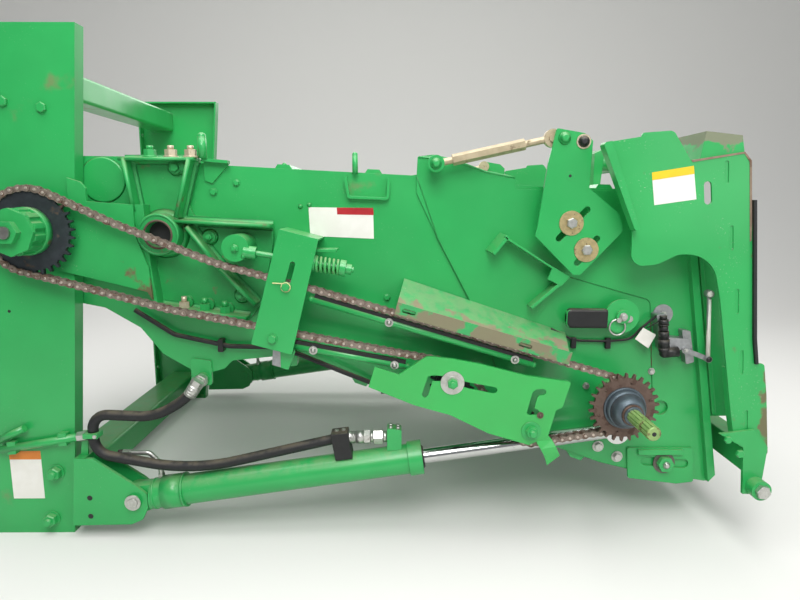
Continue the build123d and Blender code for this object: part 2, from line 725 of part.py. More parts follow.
# Conveyor: three strands with slats, and the front drum
CONVEYOR_LOOP = belt_segments([(0.0, 0.0, CONVEYOR_WHEEL_R), (DRUM_X, DRUM_Z, DRUM_R)])
with BuildPart() as conveyor:
    for y in STRAND_YS:
        add(loop_band(CONVEYOR_LOOP, 0, STRAND_T, y - STRAND_W / 2, STRAND_W))
    for segment in (CONVEYOR_LOOP[1], CONVEYOR_LOOP[3]):
        (x0, z0), (x1, z1) = segment[1], segment[2]
        heading = atan2(z1 - z0, x1 - x0)
        ux, uz = cos(heading), sin(heading)
        nx, nz = -uz, ux
        length = hypot(x1 - x0, z1 - z0)
        for i in range(SLAT_COUNT // 2):
            s = length * (i + 0.5) / (SLAT_COUNT // 2)
            px, pz = x0 + ux * s + nx * STRAND_T, z0 + uz * s + nz * STRAND_T
            end = (px + nx * SLAT_HEIGHT, pz + nz * SLAT_HEIGHT)
            add(slab(strip((px, pz), end, SLAT_T), -620, 1240))
            foot = (px + ux * 34, pz + uz * 34)
            add(slab(shifted(strip((px, pz), foot, SLAT_T), nx * SLAT_T / 2, nz * SLAT_T / 2), -620, 1240))
save(conveyor.part, "conveyor")

with BuildPart() as front_drum:
    add(round_bar(DRUM_X, DRUM_Z, DRUM_R - SEAT_GAP, -600, 600))
    add(round_bar(DRUM_X, DRUM_Z, DRUM_R - DRUM_WALL, -600 + DRUM_WALL, 600 - DRUM_WALL), mode=Mode.SUBTRACT)
    add(round_bar(DRUM_X, DRUM_Z, DRUM_SHAFT_R, -SIDE_IN + 6.5, SIDE_IN - 6.5))
save(front_drum.part, "front_drum")

# Chain guards on the right side
GUARD_IN = 836.0
GUARD_T = 6.0
LOWER_GUARD = [
    (1055, -421), (1131, -446), (1219, -388), (1298, -396), (1387, -413), (1532, -451), (1673, -472),
    (1648, -556),
    (1629, -564), (1607, -649), (1547, -680), (1415, -640), (1293, -579), (1179, -546), (1035, -486),
]
# Slots of the guard: start x, start z, end x, end z, width
GUARD_SLOTS = [
    (1219, -452, 1219, -514, 14),
    (1240, -456, 1432, -499, 12),
    (1551, -508, 1548, -556, 12),
    (1551, -508, 1590, -508, 12),
]
FOLD = 12.0
with BuildPart() as lower_guard:
    add(slab(LOWER_GUARD, GUARD_IN, GUARD_T, 5))
    for start, end in zip(LOWER_GUARD[2:6], LOWER_GUARD[3:7]):
        add(slab(shifted(strip(start, end, 5), 0, -3), GUARD_IN - FOLD, FOLD))
    add(slab([(1560, -640), (1616, -656), (1642, -708), (1595, -752), (1542, -674)], GUARD_IN, GUARD_T))
    for x0, z0, x1, z1, width in GUARD_SLOTS:
        add(slot_cut((x0, z0), (x1, z1), width, GUARD_IN, GUARD_T), mode=Mode.SUBTRACT)
save(lower_guard.part, "lower_guard")

IDLER_PIN_R = 14.0
with BuildPart() as idlers:
    for x, z, teeth in (IDLER_UPPER, IDLER_LOWER):
        add(toothed_wheel(x, z, teeth, SPROCKET_IN, SPROCKET_T))
        shoulder = sprocket_radius(teeth) - HALF_HEIGHT - SEAT_GAP
        add(round_bar(x, z, shoulder, CHAIN_Y - CHAIN_OUTER_HALF, CHAIN_Y + CHAIN_OUTER_HALF))
        add(round_bar(x, z, IDLER_PIN_R, SIDE_OUT if x < 1400 else OVERLAY_OUT, GUARD_IN))
save(idlers.part, "idlers")

# Sloping shield over the upper strand, with a lip along its outer edge
SHIELD_OUT = 832.0
SHIELD_TOP = [(1149, -163), (1690, -347)]
SHIELD_EDGE = [(1122, -236), (1669, -397)]
SHIELD_SLOTS = [((1148, -244), (1176, -252)), ((1512, -351), (1540, -359))]
with BuildPart() as upper_shield:
    with BuildSketch(side(OVERLAY_OUT)):
        Polygon(*[at(x, z) for x, z in strip(SHIELD_TOP[0], SHIELD_TOP[1], 5)], align=None)
    with BuildSketch(side(SHIELD_OUT)):
        Polygon(*[at(x, z) for x, z in strip(SHIELD_EDGE[0], SHIELD_EDGE[1], 5)], align=None)
    loft()
    add(slab(strip(SHIELD_EDGE[0], SHIELD_EDGE[1], 40), SHIELD_OUT, 5))
    for start, end in SHIELD_SLOTS:
        add(slot_cut(start, end, 14, SHIELD_OUT, 5), mode=Mode.SUBTRACT)
save(upper_shield.part, "upper_shield")

# Channel over the chain that carries the tensioner
CHANNEL_OUT = 832.0
CHANNEL_PROFILE = [(768, 7), (887, -24), (796, -384), (670, -350)]
with BuildPart() as tensioner_channel:
    add(slab(CHANNEL_PROFILE, CHANNEL_OUT - 6, 6, 5))
    add(slab([(768, 7), (887, -24), (885, -30), (766, 1)], SIDE_OUT, CHANNEL_OUT - 6 - SIDE_OUT))
    add(slab([(671, -344), (797, -378), (796, -384), (670, -350)], SIDE_OUT, CHANNEL_OUT - 6 - SIDE_OUT))
    add(slot_cut((806, -100), (786, -170), 16, CHANNEL_OUT - 6, 6), mode=Mode.SUBTRACT)
    add(slab([(725, -362), (794, -379), (794, -450), (740, -450)], SIDE_OUT, 40, 8))
save(tensioner_channel.part, "tensioner_channel")

# Spring tensioner over the upper strand: housing on the casting, rod and nut
TENSIONER_Y = CHAIN_Y
with BuildPart() as chain_tensioner:
    add(round_bar(628, -52, 42, SIDE_OUT + WEB_T, TENSIONER_Y + 14))
    add(rod_between((650, -62), (990, -121), TENSIONER_Y, 9))
    add(rod_between((652, -63), (690, -69), TENSIONER_Y, 20))
    add(rod_between((862, -99), (872, -101), TENSIONER_Y, 26))
    add(rod_between((948, -114), (966, -117), TENSIONER_Y, 26))
    add(rod_between((966, -117), (984, -120), TENSIONER_Y, 16))
save(chain_tensioner.part, "chain_tensioner")

# Guide bars beside the strands: start, end of the bar, bolts at
GUIDES = {
    "upper": ((858, -213), (1560, -425), ((1100, -286), (1500, -407))),
    "lower": ((795, -362), (1156, -431), ((860, -375), (1117, -424))),
}
with BuildPart() as chain_guides:
    for start, end, bolts in GUIDES.values():
        add(slab(strip(start, end, 22), CHAIN_Y - 10, 20))
        for x, z in bolts:
            seat = OVERLAY_OUT if x > OVERLAY_START else SIDE_OUT
            add(round_bar(x, z, 10, seat, CHAIN_Y - 10))
save(chain_guides.part, "chain_guides")

# Adjuster plates of the face angle
ADJUSTER_IN = 752.0
ADJUSTER_T = 10.0
ADJUSTER_PROFILE = [
    (1594, 207), (1617, 312), (1704, 297), (1730, 274), (1725, 131), (1824, 51), (1839, -3), (1710, -142),
    (1687, -142), (1561, -18), (1567, 7),
]
ADJUSTER_BOLTS = ((1674, 22), (1725, -62))
ADJUSTER_SLOTS = (((1722, 64), (1637, -26)), ((1757, -27), (1698, -103)))
with BuildPart() as adjuster:
    add(slab(ADJUSTER_PROFILE, ADJUSTER_IN, ADJUSTER_T, 6))
    for start, end in ADJUSTER_SLOTS:
        add(slot_cut(start, end, 20, ADJUSTER_IN, ADJUSTER_T), mode=Mode.SUBTRACT)
    add(round_bar(1664, 168, 12, ADJUSTER_IN, ADJUSTER_IN + ADJUSTER_T), mode=Mode.SUBTRACT)
    for x, z in ADJUSTER_BOLTS:
        add(round_bar(x, z, 26, OVERLAY_OUT, ADJUSTER_IN))
save_pair(adjuster.part, "adjuster_plate")

# Tie rods from the corner gussets to the adjusters
TIE_Y = 735.0
TIE_REAR = (1247, 206)
TIE_FRONT = (1611, 284)
with BuildPart() as tie_rod:
    add(rod_between((1262, 209), (1600, 282), TIE_Y, 11))
    with BuildSketch(Plane(origin=(PIVOT_X + 1300, -TIE_Y, PIVOT_Z + 217.4), z_dir=(0.9774, 0, 0.2112))):
        RegularPolygon(18, 6)
    extrude(amount=230)
    for (x, z), radius in ((TIE_REAR, 24), (TIE_FRONT, 28)):
        add(round_bar(x, z, radius, TIE_Y - 12, TIE_Y + 12))
    add(round_bar(TIE_REAR[0], TIE_REAR[1], 14, OVERLAY_OUT, TIE_Y + 16))
    add(round_bar(TIE_FRONT[0], TIE_FRONT[1], 13, TIE_Y, ADJUSTER_IN))
save(both_sides(tie_rod.part), "tie_rods")

# Bent brackets beside the adjusters
BRACKET_Y = 739.0
BRACKET_T = 6.0
with BuildPart() as z_bracket:
    add(slab([(1421, -13), (1470, 4), (1495, -30), (1480, -79), (1440, -79)], BRACKET_Y, BRACKET_T, 6))
    add(slab(strip((1470, -22), (1662, -146), 26), BRACKET_Y, BRACKET_T))
    add(slab([(1600, -121), (1660, -121), (1684, -150), (1674, -180), (1610, -176)], BRACKET_Y, BRACKET_T, 6))
    for x, z in ((1455, -42), (1642, -152)):
        add(round_bar(x, z, 14, OVERLAY_OUT, BRACKET_Y))
save(both_sides(z_bracket.part), "z_brackets")

# Lock lever of the header coupling, on a stud of the right side
LEVER_HUB = (1861.0, -281.0)
with BuildPart() as lock_lever:
    add(round_bar(LEVER_HUB[0], LEVER_HUB[1], 22, OVERLAY_OUT, 750))
    add(round_bar(LEVER_HUB[0], LEVER_HUB[1], 56, 728, 738))
    add(slab(strip((1690, -286), (1850, -286), 40), 728, 10, 4))
    add(slab(strip((1677, -286), (1808, -286), 58), 722, 26, 14))
save(lock_lever.part, "lock_lever")

# Height sensor with its arm and link rod
SENSOR_Y = 738.0
with BuildPart() as sensor:
    add(slab([(1974, -276), (2004, -272), (2030, -392), (2000, -398)], OVERLAY_OUT, 50, 5))
    add(slab([(2020, -352), (2092, -360), (2094, -394), (2024, -396)], OVERLAY_OUT, 44, 5))
    add(slab([(2070, -330), (2098, -334), (2119, -440), (2092, -448)], OVERLAY_OUT, 30, 5))
    add(slab(strip((2078, -395), (2152, -424), 16), SENSOR_Y - 8, 8))
    add(round_bar(2078, -395, 12, OVERLAY_OUT + 30, SENSOR_Y))
    add(rod_between((2152, -424), (2138, -212), SENSOR_Y + 4, 6))
    add(round_bar(2152, -424, 11, SENSOR_Y - 8, SENSOR_Y + 12))
    add(round_bar(2138, -206, 13, SENSOR_Y - 6, SENSOR_Y + 14))
save(sensor.part, "sensor")

# Lower pocket plates for the header locks
with BuildPart() as pocket_plate:
    add(slab([(1921, -752), (2150, -752), (2160, -877), (2100, -884), (1930, -862)], OVERLAY_OUT, 8, 8))
    add(slot_cut((1988, -800), (2122, -811), 32, OVERLAY_OUT, 8), mode=Mode.SUBTRACT)
    add(slab(strip((1958, -765), (2112, -765), 18), OVERLAY_OUT + 8, 10))
    add(tapped(2052, -806, 28, 6, OVERLAY_OUT + 8, OVERLAY_OUT + 30))
save(both_sides(pocket_plate.part), "pocket_plates")

# Tilt pivot on the roof: upright with the pin along the lean of the face
LEAN = radians(FACE_LEAN)
PIN_AXIS = Vector(cos(LEAN), 0, sin(LEAN))
PIN_CENTRE = Vector(PIVOT_X + TILT_PIN_X, 0, PIVOT_Z + TILT_PIN_Z)
with BuildPart() as tilt_pivot:
    foot = [(x, height_on(ROOF_LINE, x)) for x in (1955, 1980)]
    add(cross_bar([*foot, (1998, 310), (1955, 290)], 90))
    with BuildSketch(Plane(origin=PIN_CENTRE - PIN_AXIS * 125, z_dir=PIN_AXIS)):
        Circle(TILT_PIN_R)
    extrude(amount=225)
save(tilt_pivot.part, "tilt_pivot")

# Face frame: corners of its side plate, each with its radius
FACE_CORNERS = [
    (1860, 293, 10), (1957, 300, 22), (2015, 211, 5), (2178, 236, 6), (2200, 212, 8), (2218, 27, 30),
    (2268, -422, 5), (2299, -422, 12), (2316, -524, 20), (2340, -731, 10), (2282, -731, 25), (2225, -682, 25),
    (2204, -578, 60), (2140, -215, 60), (2106, -76, 100), (2000, -72, 60), (1935, -104, 60), (1852, -112, 38),
    (1850, 9, 10), (1889, 45, 10), (1875, 153, 5),
]
# Channel along the rear edge of the side plate, open outwards and at its top
FACE_CHANNEL = [(1735, 262), (1880, 285), (1896, 60), (1900, 2), (1846, 2)]
FACE_CHANNEL_INSIDE = [(1749, 300), (1910, 300), (1910, -10), (1862, -10), (1857, 14)]
FACE_SLOT = ((2072, 138), (2077, 92))
# Pressed grooves of the side plate: start x, start z, end x, end z, width
FACE_GROOVES = [
    (2125, 205, 2129, 150, 12),
    (2156, 10, 2161, -55, 12),
    (2191, -187, 2196, -254, 12),
    (2223, -384, 2228, -451, 12),
    (2255, -584, 2261, -650, 12),
]
GROOVE_DEPTH = 3.0
CHANNEL_DEPTH = 40.0
with BuildPart() as face_side:
    face_outline = [corner[:2] for corner in FACE_CORNERS]
    add(slab(face_outline, FACE_IN, FACE_PLATE, [corner[2] for corner in FACE_CORNERS]))
    add(slab(FACE_CHANNEL, FACE_IN, CHANNEL_DEPTH, 10))
    add(slab(FACE_CHANNEL_INSIDE, FACE_IN + FACE_PLATE, CHANNEL_DEPTH, 4), mode=Mode.SUBTRACT)
    add(slot_cut(*FACE_SLOT, 24, FACE_IN, FACE_PLATE), mode=Mode.SUBTRACT)
    for x0, z0, x1, z1, width in FACE_GROOVES:
        add(slot_cut((x0, z0), (x1, z1), width, FACE_OUT - GROOVE_DEPTH, GROOVE_DEPTH), mode=Mode.SUBTRACT)
save_pair(face_side.part, "face_side")

with BuildPart() as face_top:
    add(cross_bar([(2045, 213), (2060, 299), (2170, 287), (2180, 236)], FACE_IN))
    with BuildSketch(Plane(origin=PIN_CENTRE - PIN_AXIS * 200, z_dir=PIN_AXIS)):
        Circle(TILT_PIN_R + RUN_FIT)
    extrude(amount=400, mode=Mode.SUBTRACT)
save(face_top.part, "face_top_beam")

save(cross_bar([(2262, -790), (2262, -700), (2330, -700), (2330, -790)], FACE_IN, 6), "face_bottom_beam")

with BuildPart() as face_foot:
    add(slab([(2170, -654), (2250, -700), (2262, -861), (2318, -861), (2330, -700), (2282, -640)], FACE_OUT, 12))
    add(round_bar(2300, -833, 32, FACE_OUT, FACE_OUT + 50))
save_pair(face_foot.part, "face_foot")

# Lift cylinders
ROD_ANGLE = atan2(ROD_PIN_Z - BASE_PIN_Z, ROD_PIN_X - BASE_PIN_X)
CYLINDER_REACH = hypot(ROD_PIN_X - BASE_PIN_X, ROD_PIN_Z - BASE_PIN_Z)
BASE_POINT = Vector(PIVOT_X + BASE_PIN_X, -CYLINDER_Y, PIVOT_Z + BASE_PIN_Z)
ROD_DIR = Vector(cos(ROD_ANGLE), 0, sin(ROD_ANGLE))
ROD_LENGTH = 1380.0
PISTON_T = 60.0
GLAND = 60.0
COLLAR = 46.0
PORT_BLOCK = [(1092, -652), (1140, -658), (1140, -725), (1092, -731)]
PORT_FITTING = (1094.0, -688.0)
HOSE_START = (985.0, -690.0)
EYE_R = 48.0


def on_cylinder(distance):
    """Plane across the cylinder at a distance from the base pin."""
    return Plane(origin=BASE_POINT + ROD_DIR * distance, z_dir=ROD_DIR)


with BuildPart() as barrel:
    with BuildSketch(on_cylinder(0)):
        Circle(BARREL_R)
    extrude(amount=BARREL_LENGTH)
    with BuildSketch(on_cylinder(EYE_R + 20)):
        Circle(BARREL_R - BARREL_WALL)
    extrude(amount=BARREL_LENGTH - EYE_R - 20 - GLAND, mode=Mode.SUBTRACT)
    with BuildSketch(on_cylinder(BARREL_LENGTH - GLAND)):
        Circle(ROD_R + RUN_FIT)
    extrude(amount=GLAND, mode=Mode.SUBTRACT)
    add(slab([(BASE_PIN_X - 60, BASE_PIN_Z - 80), (BASE_PIN_X + 50, BASE_PIN_Z - 80),
              (BASE_PIN_X + 50, BASE_PIN_Z + 80), (BASE_PIN_X - 60, BASE_PIN_Z + 80)], CYLINDER_Y + EYE_WIDTH / 2, 60),
        mode=Mode.SUBTRACT)
    add(slab([(BASE_PIN_X - 60, BASE_PIN_Z - 80), (BASE_PIN_X + 50, BASE_PIN_Z - 80),
              (BASE_PIN_X + 50, BASE_PIN_Z + 80), (BASE_PIN_X - 60, BASE_PIN_Z + 80)],
             CYLINDER_Y - EYE_WIDTH / 2 - 60, 60), mode=Mode.SUBTRACT)
    add(round_bar(BASE_PIN_X, BASE_PIN_Z, EYE_R, CYLINDER_Y - EYE_WIDTH / 2, CYLINDER_Y + EYE_WIDTH / 2))
    with BuildSketch(on_cylinder(BARREL_LENGTH - COLLAR)):
        Circle(BARREL_R + 7)
        Circle(BARREL_R - BARREL_WALL, mode=Mode.SUBTRACT)
    extrude(amount=COLLAR)
    add(slab(PORT_BLOCK, CYLINDER_Y - 24, 48, 4))
    add(rod_between(PORT_FITTING, HOSE_START, CYLINDER_Y, 15))
    add(round_bar(BASE_PIN_X, BASE_PIN_Z, PIN_R + RUN_FIT, CYLINDER_Y - 90, CYLINDER_Y + 90), mode=Mode.SUBTRACT)
save_pair(barrel.part, "lift_barrel")

with BuildPart() as rod:
    with BuildSketch(on_cylinder(CYLINDER_REACH - ROD_LENGTH)):
        Circle(BARREL_R - BARREL_WALL - RUN_FIT)
    extrude(amount=PISTON_T)
    with BuildSketch(on_cylinder(CYLINDER_REACH - ROD_LENGTH)):
        Circle(ROD_R)
    extrude(amount=ROD_LENGTH)
    add(round_bar(ROD_PIN_X, ROD_PIN_Z, 40, CYLINDER_Y - EYE_WIDTH / 2, CYLINDER_Y + EYE_WIDTH / 2))
    add(round_bar(ROD_PIN_X, ROD_PIN_Z, PIN_R, CYLINDER_Y, CYLINDER_Y + EYE_WIDTH / 2 + 8))
save_pair(rod.part, "lift_rod")

# Pressure hoses: from the barrels to clamps on the posts, and on to elbows under the side sheets
BARREL_HOSE = [
    (HOSE_START[0] - 1, -CYLINDER_Y, HOSE_START[1]),
    (940, -CYLINDER_Y, -690.5),
    (440, -HOSE_Y, -800),
    (CLAMP_X, -HOSE_Y, -738),
    (CLAMP_X, -HOSE_Y, CLAMP_Z - CLAMP_HALF),
]
FEEDER_HOSE = [
    (CLAMP_X, -HOSE_Y, CLAMP_Z + CLAMP_HALF),
    (CLAMP_X, -HOSE_Y, -602),
    (330, -HOSE_Y, -612),
    (440, -HOSE_Y, -545),
    (ELBOW[0], -HOSE_Y, ELBOW[1]),
]
FREE_SHARE = 0.45
END_SHARE = 0.85


def bend_radii(points):
    """Radius of each bend, so that bends leave some straight between them and at the ends."""
    last = len(points) - 2
    radii = []
    for i in range(1, last + 1):
        first = Vector(*points[i]) - Vector(*points[i - 1])
        second = Vector(*points[i + 1]) - Vector(*points[i])
        before = first.length * (END_SHARE if i == 1 else FREE_SHARE)
        after = second.length * (END_SHARE if i == last else FREE_SHARE)
        half_turn = radians(first.get_angle(second)) / 2
        radii.append(min(before, after) / tan(half_turn))
    print("hose bend radii", [round(radius) for radius in radii])
    return radii


def hose(points):
    """Round hose along a path with rounded bends."""
    with BuildPart() as tube:
        with BuildLine() as path:
            FilletPolyline(*[(PIVOT_X + x, y, PIVOT_Z + z) for x, y, z in points], radius=bend_radii(points))
        with BuildSketch(path.line ^ 0):
            Circle(HOSE_R)
        sweep()
    return tube.part


save_pair(hose(BARREL_HOSE), "lift_hose")
save(both_sides(hose(FEEDER_HOSE)), "feeder_hoses")
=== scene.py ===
"""Looks of the feeder house: finishes, drive chain, fasteners, hoses, small fittings and the studio.

Places are given as the CAD source gives them: x forward and z up from the pivot, y outwards from
the mid-plane, all in millimetres. `Side` says which side of the machine a piece is on.
"""

import logging
import math
import random
from collections.abc import Iterable, Sequence
from dataclasses import dataclass, field
from enum import Enum

import bmesh
import bpy
from mathutils import Matrix, Vector


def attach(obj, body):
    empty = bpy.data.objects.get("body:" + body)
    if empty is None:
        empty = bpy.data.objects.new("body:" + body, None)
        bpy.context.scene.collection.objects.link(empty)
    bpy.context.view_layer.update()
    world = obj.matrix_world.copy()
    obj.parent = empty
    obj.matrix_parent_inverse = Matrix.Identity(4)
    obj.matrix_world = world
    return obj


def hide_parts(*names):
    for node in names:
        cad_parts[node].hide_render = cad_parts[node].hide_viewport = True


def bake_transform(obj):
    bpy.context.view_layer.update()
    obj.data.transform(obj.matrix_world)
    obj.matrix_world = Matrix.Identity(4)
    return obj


LOG = logging.getLogger("feeder_house")
PIVOT = Vector((260.0, 0.0, 200.0))
MM = 0.001
Point2 = tuple[float, float]
Point3 = tuple[float, float, float]

# Settled field dust, and metal that shows through in scratches
DUST_COLOUR = "a3957a"
SCRATCH_COLOUR = "b9bbae"

# Patterns that the finishes share: sizes in millimetres
DUST_MM = 35.0
SCRATCH_MM = 4.0
SCRATCH_FIELD_MM = 150.0

# Between which values of a pattern its cover grows from none to full
MOTTLE_EDGES = (0.35, 0.65)
SHEEN_EDGES = (0.2, 0.8)
SCRATCH_EDGES = (0.66, 0.7)
SCRATCH_FIELD_EDGES = (0.5, 0.62)
DUST_EDGES = (0.25, 0.6)
UPWARD_EDGES = (0.2, 0.95)

# How much a pattern changes the surface at full cover
SOIL_COVER = 0.85
SOIL_ROUGHNESS = 0.25
SOIL_METAL = 0.25
EDGE_SOIL = 0.24
DUST_ROUGHNESS = 0.5
SHEEN_DRIFT = 0.12
COAT_ROUGHNESS = 0.15
RELIEF_STRENGTH = 0.6

# Planes that pieces stand on, as distances from the mid-plane
SHEET_FACE = 684.0
OVERLAY_FACE = 690.0
CASTING_FACE = 714.0
CYLINDER_PLANE = 744.0
POST_FACE = 745.0
HOSE_PLANE = 760.0
ADJUSTER_FACE = 762.0
ANCHOR_FACE = 784.0
CHAIN_PLANE = 800.0
FACE_PLATE_FACE = 808.0
TENSIONER_FACE = 814.0
CHANNEL_FACE = 832.0
GUARD_FACE = 842.0

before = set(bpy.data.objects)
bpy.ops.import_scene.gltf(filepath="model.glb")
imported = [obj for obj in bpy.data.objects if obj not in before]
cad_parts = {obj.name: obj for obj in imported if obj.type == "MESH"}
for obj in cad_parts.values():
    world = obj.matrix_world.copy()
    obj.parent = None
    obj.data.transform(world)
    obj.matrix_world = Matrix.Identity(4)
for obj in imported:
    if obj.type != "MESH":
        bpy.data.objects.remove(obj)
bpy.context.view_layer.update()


class Side(Enum):
    """Side of the machine, as the sign of +Y."""

    RIGHT = -1
    LEFT = 1


def spot(x: float, z: float, y: float, side: Side = Side.RIGHT) -> Vector:
    """Point in metres, from x and z off the pivot and y outwards off the mid-plane."""
    return Vector((PIVOT.x + x, side.value * y, PIVOT.z + z)) * MM


def outward(side: Side) -> Vector:
    """Unit vector that points away from the mid-plane."""
    return Vector((0.0, side.value, 0.0))


def linear(code: str) -> tuple[float, float, float, float]:
    """Turn an sRGB hex code into a linear colour.

    Args:
        code: Six hex digits.

    Returns:
        Linear red, green, blue and alpha.
    """
    parts = [int(code[i:i + 2], 16) / 255 for i in (0, 2, 4)]
    red, green, blue = [c / 12.92 if c <= 0.04045 else ((c + 0.055) / 1.055) ** 2.4 for c in parts]
    return (red, green, blue, 1.0)


@dataclass(frozen=True)
class Finish:
    """How a surface looks.

    Attributes:
        name: Name of the material.
        base: Main colour, sRGB hex.
        shade: Second colour of the fine mottling.
        roughness: Roughness of the clean surface.
        metallic: Metalness of the clean surface.
        coat: Clear coat weight.
        mottle_mm: Size of the fine mottling.
        mottle: Strength of the mottling.
        soil: Colour of the dirt or rust patches.
        soil_share: How much of the surface the patches cover.
        soil_mm: Size of the patches.
        dust: Strength of the dust on faces that look up.
        bump_mm: Height of the fine relief.
        bump_size_mm: Size of the fine relief. Orange peel, sand grain and pitting are finer in life and
            are drawn as coarse as the render can show.
        scratches: Strength of the thin bare scratches.
        edge_mm: Radius of the rounded look of edges.
        soil_edge: Straight edge that soil gathers at: a point's x and z, the angle in degrees that points
            into the soil, and the width of the band.
    """

    name: str
    base: str
    shade: str
    roughness: float = 0.4
    metallic: float = 0.0
    coat: float = 0.0
    mottle_mm: float = 60.0
    mottle: float = 0.5
    soil: str = "6b5a45"
    soil_share: float = 0.0
    soil_mm: float = 120.0
    dust: float = 0.0
    bump_mm: float = 0.0
    bump_size_mm: float = 8.0
    scratches: float = 0.0
    edge_mm: float = 1.5
    soil_edge: tuple[float, float, float, float] | None = None


# Sprayed gloss enamel on pressed sheet: even green with a soft sheen and slow drifts of tone
PAINT = Finish("green_paint", "28a554", "21974b", 0.32, coat=0.35, mottle_mm=240, soil="7d7350",
               soil_share=0.1, soil_mm=300, dust=0.25, bump_mm=0.05, bump_size_mm=5, scratches=0.1,
               edge_mm=2.0)
# The same enamel on sand-cast iron: grainy skin and wide rounded edges that catch the light
CAST_PAINT = Finish("green_cast", "27a152", "1d8c46", 0.4, coat=0.2, mottle_mm=90, soil="6d6a48",
                    soil_share=0.16, soil_mm=60, dust=0.35, bump_mm=0.5, bump_size_mm=3.5, scratches=0.1,
                    edge_mm=4.0)
# Enamel on the arm plates, worn to rust at the lower front edge
ARM_PAINT = Finish("green_arm", "2aa454", "24984d", 0.38, mottle_mm=90, soil="6b4f3c", soil_share=0.14,
                   soil_mm=70, dust=0.5, bump_mm=0.2, bump_size_mm=3, scratches=0.3,
                   soil_edge=(220, -120, -45, 150))
# Enamel on the face frame, rubbed to rust along the edge that meets the header
FACE_PAINT = Finish("green_face", "28a554", "21974b", 0.34, coat=0.3, mottle_mm=240, soil="6e543f",
                    soil_share=0.1, soil_mm=90, dust=0.4, bump_mm=0.05, bump_size_mm=5, scratches=0.3,
                    edge_mm=2.0, soil_edge=(2188, 0, 8.4, 45))
# Enamel under a film of dried crop juice: dull and patchy
DIRTY_PAINT = Finish("green_dirty", "3cab5a", "55a65e", 0.46, mottle_mm=70, soil="8a8262", soil_share=0.24,
                     soil_mm=40, dust=0.5, bump_mm=0.2, bump_size_mm=3, scratches=0.4,
                     soil_edge=(1560, -600, -30, 120))
# Enamel on the shield, faded and caked with dust toward its lower edge
SHIELD_PAINT = Finish("green_shield", "33a35a", "3d9459", 0.5, mottle_mm=60, soil="85705f", soil_share=0.1,
                      soil_mm=60, dust=0.3, bump_mm=0.2, bump_size_mm=2.5, scratches=0.4, edge_mm=1.0,
                      soil_edge=(1430, -262, -106.5, 45))
# Enamel on the top beam, its upper face under grey dust
TOP_BEAM = Finish("green_top_beam", "28a554", "21974b", 0.4, mottle_mm=120, soil="82796a", soil_share=0.35,
                  soil_mm=50, dust=0.6, bump_mm=0.2, bump_size_mm=3, soil_edge=(2100, 255, 90, 25))
# Enamel on the strand guard: clean and a little brighter than the sheets
GUARD_PAINT = Finish("green_guard", "2fae50", "33a24c", 0.34, coat=0.3, mottle_mm=160, soil="7c7048",
                     soil_share=0.05, soil_mm=60)
# Darker enamel in a thin line along the lap joint and the fold, with dirt patches in it
FOLD_LINE = Finish("green_fold", "178a40", "14763a", 0.45, mottle_mm=60, soil="5c5238", soil_share=0.35)
# Bare sheet edge gone to matt brown rust
RUST = Finish("rust", "8d7a68", "6d5848", 0.8, mottle_mm=30, soil="5c4334", soil_share=0.3, soil_mm=40,
              dust=0.5, bump_mm=0.4, bump_size_mm=2.5, edge_mm=1.0)
# Stamped link plates of carbon steel: dull grey brown with rust in the gaps
CHAIN = Finish("chain_steel", "94877c", "66584e", 0.5, metallic=0.6, mottle_mm=9, soil="5f4638",
               soil_share=0.42, soil_mm=22, bump_mm=0.1, bump_size_mm=1.5, edge_mm=0.6)
# Riveted pin ends, polished by wear and drawn lighter still as painted highlights: light dots along the
# chain
CHAIN_PIN = Finish("chain_pin", "cfc3b6", "a3958a", 0.42, metallic=0.8, mottle_mm=8, soil="5b3c2e",
                   soil_share=0.3, soil_mm=12, edge_mm=0.3)
# Blackened steel of the big sprocket: near black with a dull metal sheen
SPROCKET = Finish("sprocket_steel", "3c4247", "2c3034", 0.5, metallic=0.6, mottle_mm=25, soil="5a4638",
                  soil_share=0.35, soil_mm=45, bump_mm=0.15, bump_size_mm=2, edge_mm=0.8)
# Flame-cut steel with a skin of rust: matt grey brown
RUSTY_DISC = Finish("rusty_disc", "6d5a50", "57463d", 0.62, metallic=0.45, mottle_mm=14, soil="4f3a30",
                    soil_share=0.45, soil_mm=28, bump_mm=0.25, bump_size_mm=2, edge_mm=0.6)
# Turned shaft steel: bright with brown stains
SHAFT = Finish("shaft_steel", "9a9a96", "7c7a75", 0.35, metallic=0.9, mottle_mm=20, soil="6b4d38",
               soil_share=0.25, soil_mm=35, edge_mm=0.6)
# Thin paint over machined grooves: yellow green with steel shining through
SPLINE = Finish("spline_paint", "93b06c", "6f9a5a", 0.4, metallic=0.25, mottle_mm=18, soil="6b5a3a",
                soil_share=0.3, soil_mm=20, edge_mm=0.5)
# Blued steel of the collar: slate grey with a soft sheen
COLLAR = Finish("collar_steel", "5d6a72", "46525a", 0.42, metallic=0.45, mottle_mm=20, soil="6e5a4a",
                soil_share=0.12, soil_mm=30, edge_mm=0.8)
# Hard chrome plate, ground and polished: a mirror
CHROME = Finish("chrome", "cfd0cf", "bdbebd", 0.12, metallic=1.0, mottle_mm=80, soil="8a8378",
                soil_share=0.08, soil_mm=60, edge_mm=0.5)
# Clear zinc plate on bolts and fittings: bright silver
ZINC = Finish("zinc", "c9c9c4", "a9a9a2", 0.32, metallic=0.85, mottle_mm=10, soil="77705f", soil_share=0.15,
              soil_mm=14, edge_mm=0.5)
# Weathered zinc: pale buff with hardly any shine
PALE_ZINC = Finish("zinc_pale", "cbbfa6", "b3a68c", 0.4, metallic=0.5, mottle_mm=14, soil="8a7452",
                   soil_share=0.25, soil_mm=12, edge_mm=0.5)
